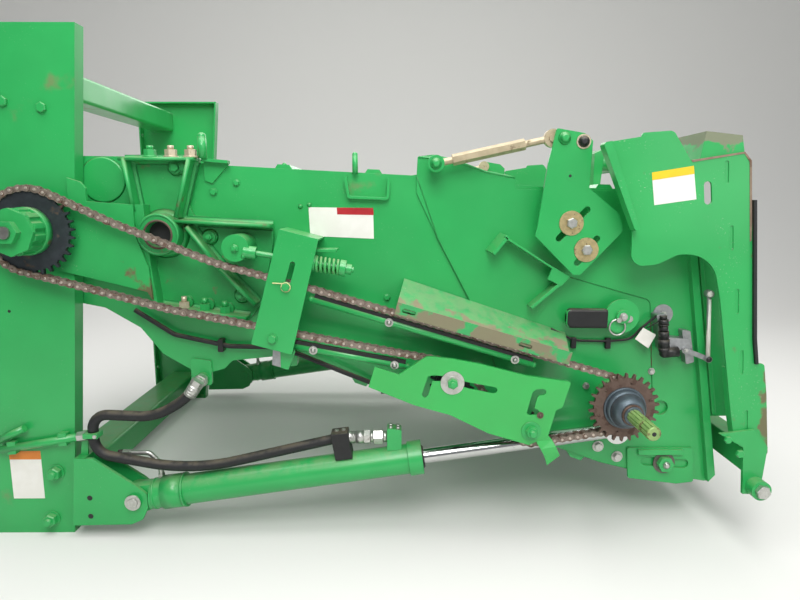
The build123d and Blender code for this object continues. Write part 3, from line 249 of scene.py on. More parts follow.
# Yellow chromated zinc on big washers: straw gold
YELLOW_ZINC = Finish("yellow_zinc", "c9b787", "a89a70", 0.36, metallic=0.8, mottle_mm=10, soil="77654a",
                     soil_share=0.25, soil_mm=14, edge_mm=0.5)
# Extruded nitrile hose cover: matt black, dusty on top
RUBBER = Finish("hose_rubber", "17181a", "212224", 0.55, mottle_mm=25, soil="5a5346", soil_share=0.12,
                soil_mm=60, dust=0.25, bump_mm=0.15, bump_size_mm=2.2, edge_mm=0.5)
# Moulded nylon: black with a fine grain
PLASTIC = Finish("black_plastic", "141516", "1c1d1e", 0.42, mottle_mm=30, dust=0.2, bump_mm=0.05,
                 bump_size_mm=1.5, edge_mm=1.2)
# Die-cast aluminium: light grey with a sandy sheen. The pale strip of the tab under the channel takes it
# too, as a painted reflection on green enamel
ALUMINIUM_AND_PAINTED_REFLECTION = Finish("aluminium_and_painted_reflection", "a9abac", "8e9092", 0.42, metallic=0.85, mottle_mm=12, bump_mm=0.1,
                   bump_size_mm=1.5, edge_mm=1.0)
# Moulded nylon of the tie, yellowed by the sun
TIE_PLASTIC = Finish("tie_plastic", "d9d39b", "c8bf80", 0.45, mottle_mm=30, edge_mm=0.4)
# Moulded polypropylene and card: plain off-white
WHITE_PLASTIC = Finish("white_plastic", "e4e2da", "d5d2c8", 0.45, mottle_mm=30, edge_mm=0.8)
# Printed vinyl of the blank plates: flat colour with a faint gloss
LABEL = Finish("label_white", "e9e7e0", "dedbd2", 0.35, mottle_mm=60, edge_mm=0.2)
LABEL_ORANGE = Finish("label_orange", "d8802c", "c9752a", 0.35, mottle_mm=60, edge_mm=0.2)
LABEL_YELLOW = Finish("label_yellow", "e6c51d", "d9b91b", 0.35, mottle_mm=60, edge_mm=0.2)
LABEL_RED = Finish("label_red", "b3262c", "a32228", 0.35, mottle_mm=60, edge_mm=0.2)
# Black enamel on plugs: dull black. It also lies in holes as painted shade
BLACK_PAINT_AND_HOLE_SHADE = Finish("black_paint_and_hole_shade", "1b1c1d", "242526", 0.5, mottle_mm=40, dust=0.3, soil="6b5a45",
                     soil_share=0.15, soil_mm=50, edge_mm=1.0)
# Steel scoured by crop: grey brown, half rust and half polish
WORN_STEEL = Finish("worn_steel", "75706a", "5c5852", 0.5, metallic=0.6, mottle_mm=30, soil="6a4a36",
                    soil_share=0.35, soil_mm=70, dust=0.3, bump_mm=0.2, bump_size_mm=2.5, edge_mm=1.0)
# Zinc-plated hex bar of the tie rods, faded to buff
PALE_ROD = Finish("pale_rod", "b9ab8e", "9f9276", 0.45, metallic=0.5, mottle_mm=24, soil="6b5a40",
                  soil_share=0.2, soil_mm=30, edge_mm=0.8)


class Recipe:
    """Node tree of one material, built from small steps."""

    def __init__(self, finish: Finish) -> None:
        """Start an empty material.

        Args:
            finish: The finish to build.
        """
        self.material = bpy.data.materials.new(finish.name)
        self.material.use_nodes = True
        self.tree = self.material.node_tree
        self.tree.nodes.clear()
        self.finish = finish
        self.coords = self.add("ShaderNodeTexCoord").outputs["Object"]

    def add(self, kind: str, **values: object) -> bpy.types.Node:
        """Add a node and set its inputs or properties.

        Args:
            kind: Node type.
            **values: Input values, sockets to link, or node properties.

        Returns:
            The new node.
        """
        made = self.tree.nodes.new(kind)
        for key, value in values.items():
            name = key.replace("_", " ")
            if hasattr(made, key) and key not in made.inputs:
                setattr(made, key, value)
            elif isinstance(value, bpy.types.NodeSocket):
                self.tree.links.new(value, made.inputs[name if name in made.inputs else key])
            else:
                made.inputs[name if name in made.inputs else key].default_value = value
        return made

    def noise(self, size_mm: float, detail: float = 3.0, offset: float = 0.0) -> bpy.types.NodeSocket:
        """Noise with patches of a real size.

        Args:
            size_mm: Size of the patches.
            detail: Octaves.
            offset: Shift of the pattern in metres.

        Returns:
            Value socket from 0 to 1.
        """
        moved = self.add("ShaderNodeVectorMath", operation="ADD")
        self.tree.links.new(self.coords, moved.inputs[0])
        moved.inputs[1].default_value = (offset, offset * 0.7, offset * 0.3)
        made = self.add("ShaderNodeTexNoise", Scale=1 / (size_mm * MM), Detail=detail, Roughness=0.55)
        self.tree.links.new(moved.outputs[0], made.inputs["Vector"])
        return made.outputs["Fac"]

    def span(self, value: bpy.types.NodeSocket, low: float, high: float,
             top: float = 1.0) -> bpy.types.NodeSocket:
        """Stretch a value smoothly.

        Args:
            value: Socket to stretch.
            low: Value that becomes 0.
            high: Value that becomes the top.
            top: Largest result.

        Returns:
            Value socket.
        """
        made = self.add("ShaderNodeMapRange", interpolation_type="SMOOTHSTEP")
        self.tree.links.new(value, made.inputs["Value"])
        made.inputs["From Min"].default_value = low
        made.inputs["From Max"].default_value = high
        made.inputs["To Max"].default_value = top
        return made.outputs["Result"]

    def math(self, operation: str, first: bpy.types.NodeSocket, second: object) -> bpy.types.NodeSocket:
        """Combine two values.

        Args:
            operation: Math operation.
            first: First value.
            second: Second value, a socket or a number.

        Returns:
            Value socket.
        """
        made = self.add("ShaderNodeMath", operation=operation, use_clamp=True)
        self.tree.links.new(first, made.inputs[0])
        if isinstance(second, bpy.types.NodeSocket):
            self.tree.links.new(second, made.inputs[1])
        else:
            made.inputs[1].default_value = second
        return made.outputs[0]

    def band(self, x: float, z: float, angle: float, width: float) -> bpy.types.NodeSocket:
        """Value that grows across a straight edge.

        Args:
            x: Point where it starts.
            z: Height of the point.
            angle: Direction of growth in degrees.
            width: Width over which it grows.

        Returns:
            Value socket from 0 to about a quarter.
        """
        start = spot(x, z, 0)
        away = Vector((math.cos(math.radians(angle)), 0.0, math.sin(math.radians(angle))))
        across = self.add("ShaderNodeVectorMath", operation="DOT_PRODUCT")
        self.tree.links.new(self.coords, across.inputs[0])
        across.inputs[1].default_value = away
        begin = start.dot(away)
        return self.span(across.outputs["Value"], begin, begin + width * MM, EDGE_SOIL)

    def blend(self, share: bpy.types.NodeSocket, first: object, second: object) -> bpy.types.NodeSocket:
        """Mix two colours.

        Args:
            share: Share of the second colour.
            first: Colour code or socket.
            second: Colour code or socket.

        Returns:
            Colour socket.
        """
        made = self.add("ShaderNodeMix", data_type="RGBA")
        self.tree.links.new(share, made.inputs["Factor"])
        for socket, value in ((made.inputs[6], first), (made.inputs[7], second)):
            if isinstance(value, str):
                socket.default_value = linear(value)
            else:
                self.tree.links.new(value, socket)
        return made.outputs[2]

    def build(self) -> bpy.types.Material:
        """Wire the whole finish.

        Returns:
            The material.
        """
        look = self.finish
        mottling = self.span(self.noise(look.mottle_mm), *MOTTLE_EDGES, look.mottle)
        colour = self.blend(mottling, look.base, look.shade)
        shader = self.add("ShaderNodeBsdfPrincipled")
        shader.inputs["Coat Weight"].default_value = look.coat
        shader.inputs["Coat Roughness"].default_value = COAT_ROUGHNESS
        bare = None
        if look.soil_share > 0:
            patches = self.noise(look.soil_mm, 6.0, 3.7)
            if look.soil_edge is not None:
                patches = self.math("ADD", patches, self.band(*look.soil_edge))
            edge = 0.5 - (look.soil_share - 0.5) * 0.42
            bare = self.span(patches, edge, edge + 0.09, SOIL_COVER)
            colour = self.blend(bare, colour, look.soil)
        if look.scratches > 0:
            thin = self.noise(SCRATCH_MM, 8.0, 9.1)
            spread = self.span(self.noise(SCRATCH_FIELD_MM), *SCRATCH_FIELD_EDGES)
            marks = self.math("MULTIPLY", self.span(thin, *SCRATCH_EDGES), spread)
            colour = self.blend(self.math("MULTIPLY", marks, look.scratches * 3), colour, SCRATCH_COLOUR)
        film = None
        if look.dust > 0:
            up = self.add("ShaderNodeSeparateXYZ")
            self.tree.links.new(self.add("ShaderNodeNewGeometry").outputs["Normal"], up.inputs[0])
            settled = self.span(self.noise(DUST_MM), *DUST_EDGES)
            film = self.math("MULTIPLY", self.span(up.outputs["Z"], *UPWARD_EDGES), settled)
            film = self.math("MULTIPLY", film, look.dust)
            colour = self.blend(film, colour, DUST_COLOUR)
        self.tree.links.new(colour, shader.inputs["Base Color"])
        rough = self.span(self.noise(look.mottle_mm * 0.6, 4.0, 5.3), *SHEEN_EDGES, SHEEN_DRIFT)
        rough = self.math("ADD", rough, look.roughness - 0.04)
        if bare is not None:
            rough = self.math("ADD", rough, self.math("MULTIPLY", bare, SOIL_ROUGHNESS))
        if film is not None:
            rough = self.math("ADD", rough, self.math("MULTIPLY", film, DUST_ROUGHNESS))
        self.tree.links.new(rough, shader.inputs["Roughness"])
        if bare is not None and look.metallic > 0:
            metal = self.add("ShaderNodeMapRange")
            self.tree.links.new(bare, metal.inputs["Value"])
            metal.inputs["To Min"].default_value = look.metallic
            metal.inputs["To Max"].default_value = look.metallic * SOIL_METAL
            self.tree.links.new(metal.outputs["Result"], shader.inputs["Metallic"])
        else:
            shader.inputs["Metallic"].default_value = look.metallic
        rounding = self.add("ShaderNodeBevel", samples=4)
        rounding.inputs["Radius"].default_value = look.edge_mm * MM
        normal = rounding.outputs["Normal"]
        if look.bump_mm > 0:
            relief = self.add("ShaderNodeBump")
            relief.inputs["Strength"].default_value = RELIEF_STRENGTH
            relief.inputs["Distance"].default_value = look.bump_mm * MM
            self.tree.links.new(self.noise(look.bump_size_mm, 2.0, 1.9), relief.inputs["Height"])
            self.tree.links.new(normal, relief.inputs["Normal"])
            normal = relief.outputs["Normal"]
        self.tree.links.new(normal, shader.inputs["Normal"])
        out = self.add("ShaderNodeOutputMaterial")
        self.tree.links.new(shader.outputs["BSDF"], out.inputs["Surface"])
        return self.material


class Paintbox:
    """Makes each finish once."""

    made: dict[str, bpy.types.Material] = {}

    @classmethod
    def get(cls, finish: Finish) -> bpy.types.Material:
        """Material of a finish.

        Args:
            finish: The finish.

        Returns:
            The material.
        """
        if finish.name not in cls.made:
            cls.made[finish.name] = Recipe(finish).build()
        return cls.made[finish.name]


class Draft:
    """Mesh in the making whose faces carry finishes."""

    def __init__(self, name: str) -> None:
        """Start an empty mesh.

        Args:
            name: Name of the object.
        """
        self.name = name
        self.mesh = bmesh.new()
        self.finishes: list[Finish] = []

    def paint(self, faces: Iterable[bmesh.types.BMFace], finish: Finish, smooth: bool = False) -> None:
        """Give faces a finish.

        Args:
            faces: The faces.
            finish: Their finish.
            smooth: Whether they are shaded smooth.
        """
        if finish not in self.finishes:
            self.finishes.append(finish)
        index = self.finishes.index(finish)
        for face in faces:
            face.material_index = index
            face.smooth = smooth

    def rod(self, start: Vector, end: Vector, radius: float, finish: Finish, sides: int = 24,
            tip: float | None = None, turn: float = 0.0) -> None:
        """Round or many-sided bar between two points.

        Args:
            start: One end in metres.
            end: Other end in metres.
            radius: Radius in millimetres.
            finish: Its finish.
            sides: Number of sides.
            tip: Radius at the end, the same where it is None.
            turn: Turn about the axis in radians.
        """
        along = end - start
        place = Matrix.Translation((start + end) / 2) @ along.to_track_quat("Z", "Y").to_matrix().to_4x4()
        made = bmesh.ops.create_cone(self.mesh, cap_ends=True, segments=sides, radius1=radius * MM,
                                     radius2=(radius if tip is None else tip) * MM, depth=along.length,
                                     matrix=place @ Matrix.Rotation(turn, 4, "Z"))
        faces = {face for vert in made["verts"] for face in vert.link_faces}
        self.paint(faces, finish)
        for face in faces:
            face.smooth = sides > 8 and len(face.verts) == 4

    def disc(self, x: float, z: float, inner: float, outer: float, radius: float, finish: Finish,
             sides: int = 24, tip: float | None = None, side: Side = Side.RIGHT) -> None:
        """Disc square to the sides at x, z, between two distances, with tip as its outer radius."""
        self.rod(spot(x, z, inner, side), spot(x, z, outer, side), radius, finish, sides, tip)

    def upright(self, x: float, foot: float, top: float, y: float, radius: float, finish: Finish,
                sides: int = 24, tip: float | None = None, turn: float = 0.0,
                side: Side = Side.RIGHT) -> None:
        """Stud that stands at x from foot to top, y off the mid-plane, with tip as its top radius."""
        self.rod(spot(x, foot, y, side), spot(x, top, y, side), radius, finish, sides, tip, turn)

    def hoop(self, x: float, z: float, y: float, radius: float, thick: float, finish: Finish,
             corners: int, sides: int, side: Side = Side.RIGHT) -> None:
        """Ring of round wire parallel to the sides.

        Args:
            x: Its middle, forward of the pivot.
            z: Its middle, over the pivot.
            y: Distance of its middle from the mid-plane.
            radius: Radius of the ring.
            thick: Radius of the wire.
            finish: Its finish.
            corners: Points round the ring.
            sides: Sides of the wire.
            side: Side of the machine.
        """
        turns = [math.tau * k / corners for k in range(corners)]
        path = [spot(x + radius * math.cos(a), z + radius * math.sin(a), y, side) for a in turns]
        self.tube(path, thick, finish, sides, closed=True)

    def loft(self, rings: Sequence[Sequence[Vector]], finish: Finish) -> None:
        """Closed skin through rings with the same number of points.

        Args:
            rings: Rings of points in metres, the first and the last closed by a face.
            finish: Its finish.
        """
        verts = [[self.mesh.verts.new(point) for point in ring] for ring in rings]
        faces = [self.mesh.faces.new(list(reversed(verts[0]))), self.mesh.faces.new(verts[-1])]
        count = len(verts[0])
        for low, high in zip(verts, verts[1:]):
            for k in range(count):
                near = (k + 1) % count
                face = self.mesh.faces.new((low[k], low[near], high[near], high[k]))
                face.smooth = True
                faces.append(face)
        self.paint(faces, finish)

    def ball(self, centre: Vector, radius: float, finish: Finish) -> None:
        """Small ball.

        Args:
            centre: Its centre in metres.
            radius: Its radius in millimetres.
            finish: Its finish.
        """
        made = bmesh.ops.create_icosphere(self.mesh, subdivisions=3, radius=radius * MM,
                                          matrix=Matrix.Translation(centre))
        self.paint({face for vert in made["verts"] for face in vert.link_faces}, finish, True)

    def plate(self, outline: Sequence[Point2], inner: float, thick: float, finish: Finish,
              side: Side = Side.RIGHT, bevel: float = 0.0) -> None:
        """Flat plate parallel to the sides.

        Args:
            outline: Corners as x and z.
            inner: Distance of its inner face from the mid-plane.
            thick: Its thickness.
            finish: Its finish.
            side: Side of the machine.
            bevel: Bevel of all edges in millimetres.
        """
        bottom = [self.mesh.verts.new(spot(x, z, inner, side)) for x, z in outline]
        top = [self.mesh.verts.new(spot(x, z, inner + thick, side)) for x, z in outline]
        faces = [self.mesh.faces.new(bottom), self.mesh.faces.new(top[::-1])]
        count = len(outline)
        for i in range(count):
            j = (i + 1) % count
            faces.append(self.mesh.faces.new((bottom[j], bottom[i], top[i], top[j])))
        bmesh.ops.recalc_face_normals(self.mesh, faces=faces)
        if bevel > 0:
            edges = list(dict.fromkeys(edge for face in faces for edge in face.edges))
            made = bmesh.ops.bevel(self.mesh, geom=edges, offset=bevel * MM, segments=2, affect="EDGES",
                                   profile=0.5, material=-1)
            faces = {face for vert in made["verts"] for face in vert.link_faces}
        self.paint(faces, finish)

    def pierced(self, outline: Sequence[Point2], openings: Sequence[Sequence[Point2]], inner: float,
                thick: float, finish: Finish, side: Side = Side.RIGHT) -> None:
        """Flat plate parallel to the sides, with openings through it.

        Args:
            outline: Corners as x and z.
            openings: Corners of each opening.
            inner: Distance of its inner face from the mid-plane.
            thick: Its thickness.
            finish: Its finish.
            side: Side of the machine.
        """
        before = set(self.mesh.faces)
        levels = []
        for y in (inner, inner + thick):
            loops, edges = [], []
            for loop in (outline, *openings):
                verts = [self.mesh.verts.new(spot(x, z, y, side)) for x, z in loop]
                edges += [self.mesh.edges.new((verts[k - 1], verts[k])) for k in range(len(verts))]
                loops.append(verts)
            bmesh.ops.triangle_fill(self.mesh, edges=edges, use_beauty=True)
            levels.append(loops)
        for low, high in zip(*levels):
            for k in range(len(low)):
                self.mesh.faces.new((low[k - 1], low[k], high[k], high[k - 1]))
        made = [face for face in self.mesh.faces if face not in before]
        bmesh.ops.recalc_face_normals(self.mesh, faces=made)
        self.paint(made, finish)

    def sleeve(self, start: Vector, end: Vector, outer: float, inner: float, finish: Finish) -> None:
        """Hollow round sleeve, spun from its section.

        Args:
            start: Middle of its first end in metres.
            end: Middle of its other end in metres.
            outer: Its outer radius in millimetres.
            inner: Its inner radius in millimetres.
            finish: Its finish.
        """
        ahead = (end - start).normalized()
        across = ahead.orthogonal().normalized()
        before = set(self.mesh.faces)
        corners = [self.mesh.verts.new(point + across * radius * MM)
                   for point, radius in ((start, inner), (start, outer), (end, outer), (end, inner))]
        edges = [self.mesh.edges.new((corners[k - 1], corners[k])) for k in range(4)]
        bmesh.ops.spin(self.mesh, geom=corners + edges, cent=start, axis=ahead, angle=math.tau, steps=48,
                       use_merge=True)
        made = [face for face in self.mesh.faces if face not in before]
        bmesh.ops.recalc_face_normals(self.mesh, faces=made)
        ends = [face for face in made if abs(face.normal.dot(ahead)) > 0.9]
        self.paint(ends, finish)
        self.paint([face for face in made if abs(face.normal.dot(ahead)) <= 0.9], finish, True)

    def tube(self, path: Sequence[Vector], radius: float, finish: Finish, sides: int = 16,
             closed: bool = False) -> None:
        """Round tube along a path.

        Args:
            path: Points in metres.
            radius: Its radius in millimetres.
            finish: Its finish.
            sides: Number of sides.
            closed: Whether the path closes on itself.
        """
        rings = []
        normal = None
        count = len(path)
        for i, point in enumerate(path):
            before = path[i - 1] if i > 0 or closed else point
            after = path[(i + 1) % count] if i < count - 1 or closed else point
            ahead = (after - before).normalized()
            if normal is None:
                normal = ahead.orthogonal().normalized()
            normal = (normal - ahead * normal.dot(ahead)).normalized()
            across = ahead.cross(normal)
            ring = []
            for k in range(sides):
                angle = 2 * math.pi * k / sides
                ring.append(self.mesh.verts.new(point + (normal * math.cos(angle) + across * math.sin(angle))
                                                * radius * MM))
            rings.append(ring)
        faces = []
        pairs = list(zip(rings, rings[1:] + rings[:1])) if closed else list(zip(rings, rings[1:]))
        for first, second in pairs:
            for k in range(sides):
                m = (k + 1) % sides
                faces.append(self.mesh.faces.new((first[k], first[m], second[m], second[k])))
        self.paint(faces, finish, True)
        if not closed:
            caps = [self.mesh.faces.new(rings[0][::-1]), self.mesh.faces.new(rings[-1])]
            self.paint(caps, finish)

    def finish(self, body: str, slot: str, replaces: Sequence[str] = ()) -> bpy.types.Object:
        """Turn the draft into an object that rides on a body.

        Args:
            body: CAD body.
            slot: Material slot of the record; not used.
            replaces: CAD nodes that it stands for.

        Returns:
            The object.
        """
        bmesh.ops.recalc_face_normals(self.mesh, faces=self.mesh.faces)
        data = bpy.data.meshes.new(self.name)
        self.mesh.to_mesh(data)
        self.mesh.free()
        made = bpy.data.objects.new(self.name, data)
        bpy.context.scene.collection.objects.link(made)
        for look in self.finishes:
            data.materials.append(Paintbox.get(look))
        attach(made, body)
        if replaces:
            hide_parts(*replaces)
        LOG.info("%s rides on %s", self.name, body)
        return made


class Head(Enum):
    """Kinds of fastener head."""

    HEX = "hex"
    NUT = "nut"
    DOME = "dome"
    PIN = "pin"


# Proportions of fasteners, as shares of the width across the flats
BOLT_HEAD_HEIGHT = 0.42
NUT_HEIGHT = 0.52
CHAMFER_START = 0.82
CHAMFER_RADIUS = 0.86
THREAD_RADIUS = 0.31
THREAD_TIP = 0.27
DOME_SHOULDER = 0.22
DOME_HEIGHT = 0.34
WASHER_THICK = 3.0
WASHER_CHAMFER = 0.6


@dataclass(frozen=True)
class Fastener:
    """Bolt, nut or pin on a face that is parallel to the sides.

    Attributes:
        x: Distance forward of the pivot.
        z: Height over the pivot.
        y: Distance of its seat from the mid-plane.
        across: Width across the flats, or diameter.
        head: Kind of head.
        finish: Its finish.
        washer: Radius of its washer, 0 for none.
        stub: Length of thread over a nut.
        washer_finish: Finish of the washer where it differs.
    """

    x: float
    z: float
    y: float
    across: float
    head: Head = Head.HEX
    finish: Finish = PAINT
    washer: float = 0.0
    stub: float = 0.0
    washer_finish: Finish | None = None

    def add_to(self, draft: Draft, side: Side) -> None:
        """Add the fastener to a draft.

        Args:
            draft: The draft.
            side: Side of the machine.
        """
        base = spot(self.x, self.z, self.y, side)
        out = outward(side)
        turn = random.uniform(0, math.pi)
        if self.washer > 0:
            top = base + out * WASHER_THICK * MM
            look = self.washer_finish or self.finish
            draft.rod(base, top, self.washer, look, 28, self.washer - WASHER_CHAMFER)
            base = top
        radius = self.across / 2
        if self.head in (Head.HEX, Head.NUT):
            radius = radius / math.cos(math.pi / 6)
            high = self.across * (BOLT_HEAD_HEIGHT if self.head is Head.HEX else NUT_HEIGHT)
            shoulder = base + out * high * CHAMFER_START * MM
            draft.rod(base, shoulder, radius, self.finish, 6, turn=turn)
            crown = base + out * high * MM
            draft.rod(shoulder, crown, radius, self.finish, 6, radius * CHAMFER_RADIUS, turn)
            if self.stub > 0:
                tip = base + out * (high + self.stub) * MM
                draft.rod(base, tip, self.across * THREAD_RADIUS, self.finish, 16, self.across * THREAD_TIP)
        elif self.head is Head.DOME:
            shoulder = base + out * self.across * DOME_SHOULDER * MM
            draft.rod(base, shoulder, radius, self.finish, 20, radius * 0.8)
            draft.rod(shoulder, base + out * self.across * DOME_HEIGHT * MM, radius * 0.8, self.finish, 20,
                      radius * 0.35)
        else:
            draft.rod(base, base + out * self.stub * MM, radius, self.finish, 24, radius * 0.93)


def rounded_path(points: Sequence[Vector], radii: Sequence[float], steps: int = 10) -> list[Vector]:
    """Line through points with its corners rounded by arcs.

    Args:
        points: Corners in metres.
        radii: Radius of each inner corner in millimetres.
        steps: Pieces of each arc.

    Returns:
        Points along the line.
    """
    path = [points[0]]
    for i in range(1, len(points) - 1):
        corner = points[i]
        back = (points[i - 1] - corner).normalized()
        ahead = (points[i + 1] - corner).normalized()
        half = back.angle(ahead) / 2
        reach = radii[i - 1] * MM / math.tan(half)
        centre = corner + (back + ahead).normalized() * radii[i - 1] * MM / math.sin(half)
        first = corner + back * reach - centre
        last = corner + ahead * reach - centre
        full = first.angle(last)
        for k in range(steps + 1):
            share = k / steps
            swung = first * math.sin((1 - share) * full) + last * math.sin(share * full)
            path.append(centre + swung / math.sin(full))
    path.append(points[-1])
    return path


def resample(path: Sequence[Vector], step_mm: float) -> list[Vector]:
    """Points at even steps along a path.

    Args:
        path: Points in metres.
        step_mm: Largest step.

    Returns:
        The new points.
    """
    out = [path[0]]
    for first, second in zip(path, path[1:]):
        count = max(1, math.ceil((second - first).length / (step_mm * MM)))
        out.extend(first.lerp(second, k / count) for k in range(1, count + 1))
    return out


@dataclass
class DriveChain:
    """Roller chain of real links round the sprockets."""

    plane: float = CHAIN_PLANE
    pitch: float = 25.4
    plate_thick: float = 3.2
    outer_gap: float = 12.0
    inner_gap: float = 8.5
    outer_round: float = 10.6
    inner_round: float = 11.4
    outer_waist: float = 7.2
    inner_waist: float = 8.0
    roller: float = 7.9
    roller_half: float = 8.4
    pin: float = 4.0
    pin_half: float = 17.4
    circles: list[tuple[float, float, float]] = field(default_factory=list)
    segments: list[tuple] = field(default_factory=list)

    def __post_init__(self) -> None:
        """Lay the loop out as the CAD source does."""
        self.circles = [
            (0.0, 0.0, self.wheel(32)),
            self.bend(260, 22, -22.5, -700),
            self.bend(560, -98, -18.5, -700),
            self.bend(880, -186, -16.2, 700),
            (1850.0, -560.0, self.wheel(20)),
            (1556.0, -640.0, self.wheel(12)),
            (1302.0, -485.0, -self.wheel(16)),
            self.bend(860, -334, 169.2, 700),
            self.bend(420, -246, 167.0, 700),
        ]
        count = len(self.circles)
        headings = []
        for i in range(count):
            x0, z0, r0 = self.circles[i]
            x1, z1, r1 = self.circles[(i + 1) % count]
            lean = math.asin((r1 - r0) / math.hypot(x1 - x0, z1 - z0))
            headings.append(math.atan2(z1 - z0, x1 - x0) + lean)
        for i in range(count):
            x, z, r = self.circles[i]
            first, last = headings[i - 1], headings[i]
            turn = (first - last) % (2 * math.pi) if r > 0 else (last - first) % (2 * math.pi)
            last = first - turn if r > 0 else first + turn
            self.segments.append(("arc", (x, z), r, first, last))
            leave = self.touch(x, z, r, headings[i])
            reach = self.touch(*self.circles[(i + 1) % count], headings[i])
            self.segments.append(("line", leave, reach))

    def wheel(self, teeth: int) -> float:
        """Pitch radius of a sprocket in millimetres."""
        return self.pitch / 2 / math.sin(math.pi / teeth)

    @staticmethod
    def bend(x: float, z: float, heading: float, radius: float) -> tuple[float, float, float]:
        """Centre and signed radius of a gentle bend through a point, with its heading in degrees."""
        turn = math.radians(heading)
        return (x + radius * math.sin(turn), z - radius * math.cos(turn), radius)

    @staticmethod
    def touch(x: float, z: float, r: float, heading: float) -> Point2:
        """Point where the loop, at a heading, touches a circle of a signed radius."""
        return (x - r * math.sin(heading), z + r * math.cos(heading))

    def joints(self) -> list[Point2]:
        """Places of the pins.

        Returns:
            Points at even steps round the loop.
        """
        lengths = [math.dist(s[1], s[2]) if s[0] == "line" else abs(s[2] * (s[3] - s[4]))
                   for s in self.segments]
        total = sum(lengths)
        count = 2 * round(total / self.pitch / 2)
        places = []
        for i in range(count):
            left = total * i / count
            for segment, length in zip(self.segments, lengths):
                if left < length:
                    places.append(self.place(segment, left / length))
                    break
                left -= length
        return places

    def place(self, segment: tuple, share: float) -> Point2:
        """Point at a share of one segment.

        Args:
            segment: Line or arc.
            share: Share from 0 to 1.

        Returns:
            The point.
        """
        if segment[0] == "line":
            (x0, z0), (x1, z1) = segment[1], segment[2]
            return (x0 + (x1 - x0) * share, z0 + (z1 - z0) * share)
        (x, z), r, first, last = segment[1:]
        return self.touch(x, z, r, first + (last - first) * share)

    @staticmethod
    def link_outline(start: Point2, end: Point2, round_r: float, waist: float) -> list[Point2]:
        """Outline of a waisted link plate.

        Args:
            start: First pin.
            end: Second pin.
            round_r: Radius of its ends.
            waist: Half height at its middle.

        Returns:
            Corners of the outline.
        """
        heading = math.atan2(end[1] - start[1], end[0] - start[0])
        points = []
        for (x, z), face in ((end, heading), (start, heading + math.pi)):
            for k in range(9):
                angle = face - math.radians(112) + math.radians(224) * k / 8
                points.append((x + round_r * math.cos(angle), z + round_r * math.sin(angle)))
            mx, mz = (start[0] + end[0]) / 2, (start[1] + end[1]) / 2
            side = face + math.pi / 2
            points.append((mx + waist * math.cos(side), mz + waist * math.sin(side)))
        return points

    def build(self) -> None:
        """Build the links, rollers and pins."""
        draft = Draft("chain_links")
        pins = self.joints()
        count = len(pins)
        for i, pin in enumerate(pins):
            following = pins[(i + 1) % count]
            if i % 2 == 0:
                gap, shape = self.outer_gap, (self.outer_round, self.outer_waist)
            else:
                gap, shape = self.inner_gap, (self.inner_round, self.inner_waist)
            outline = self.link_outline(pin, following, *shape)
            for inner in (self.plane + gap, self.plane - gap - self.plate_thick):
                draft.plate(outline, inner, self.plate_thick, CHAIN)
            for radius, half, look, sides in ((self.roller, self.roller_half, CHAIN, 14),
                                              (self.pin, self.pin_half, CHAIN_PIN, 12)):
                draft.disc(*pin, self.plane - half, self.plane + half, radius, look, sides)
        draft.finish("feeder", "chain_steel", ["drive_chain"])
        LOG.info("drive chain of %d links", count)


@dataclass
class HeaderShaft:
    """Header drive shaft with splined ends, collar and seal ring."""

    x: float = 1850.0
    z: float = -560.0
    grooves: int = 12
    crest: float = 22.0
    root: float = 18.6
    core: float = 27.0
    left_shoulder: float = 750.0
    right_shoulder: float = 866.0
    end: float = 1055.0
    bolts: int = 6
    bolt_circle: float = 84.0
    bolt_face: float = 832.0
    collar: tuple[tuple[float, float, float, float, Finish], ...] = (
        (832.5, 840, 68, 66, COLLAR), (840, 862, 63, 58, COLLAR), (862, 898, 57, 37, COLLAR),
        (898, 906, 34, 32, RUSTY_DISC), (906, 911, 29, 27, COLLAR))

    def spline(self, draft: Draft, start: float, side: Side) -> None:
        """Splined end of the shaft, with a plain land at two thirds of its length.

        Args:
            draft: Draft that takes it.
            start: Where the spline starts, from the mid-plane.
            side: Side of the machine.
        """
        x, z, end = self.x, self.z, self.end
        tooth = ((-0.16, self.crest), (0.16, self.crest), (0.2, self.root), (0.32, self.root))
        outline = []
        for k in range(self.grooves):
            for turn, radius in tooth:
                angle = math.tau * k / self.grooves + turn
                outline.append((x + radius * math.cos(angle), z + radius * math.sin(angle)))
        first, land = start + 14, start + (end - start) * 0.62
        draft.plate(outline, first, land - first, SPLINE, side)
        draft.disc(x, z, land, land + 12, 17.5, SPLINE, 32, side=side)
        draft.plate(outline, land + 12, end - land - 17, SPLINE, side)
        draft.disc(x, z, end - 5, end, 21.5, SPLINE, 32, 18.0, side)
        draft.disc(x, z, end - 0.5, end + 0.4, 6.5, BLACK_PAINT_AND_HOLE_SHADE, 20, side=side)
        draft.disc(x, z, start, first, self.crest, SHAFT, 32, side=side)

    def build(self) -> None:
        """Build the shaft and what sits on its visible end."""
        draft = Draft("header_shaft_dressed")
        left = spot(self.x, self.z, self.left_shoulder, Side.LEFT)
        draft.rod(left, spot(self.x, self.z, self.right_shoulder), self.core, SHAFT, 48)
        self.spline(draft, self.right_shoulder, Side.RIGHT)
        self.spline(draft, self.left_shoulder, Side.LEFT)
        for start, end, radius, tip, look in self.collar:
            draft.disc(self.x, self.z, start, end, radius, look, 48, tip)
        for k in range(self.bolts):
            angle = math.tau * k / self.bolts + 0.3
            x, z = self.x + self.bolt_circle * math.cos(angle), self.z + self.bolt_circle * math.sin(angle)
            Fastener(x, z, self.bolt_face, 9, Head.DOME, RUSTY_DISC).add_to(draft, Side.RIGHT)
        draft.finish("header_shaft", "shaft_steel", ["header_shaft"])


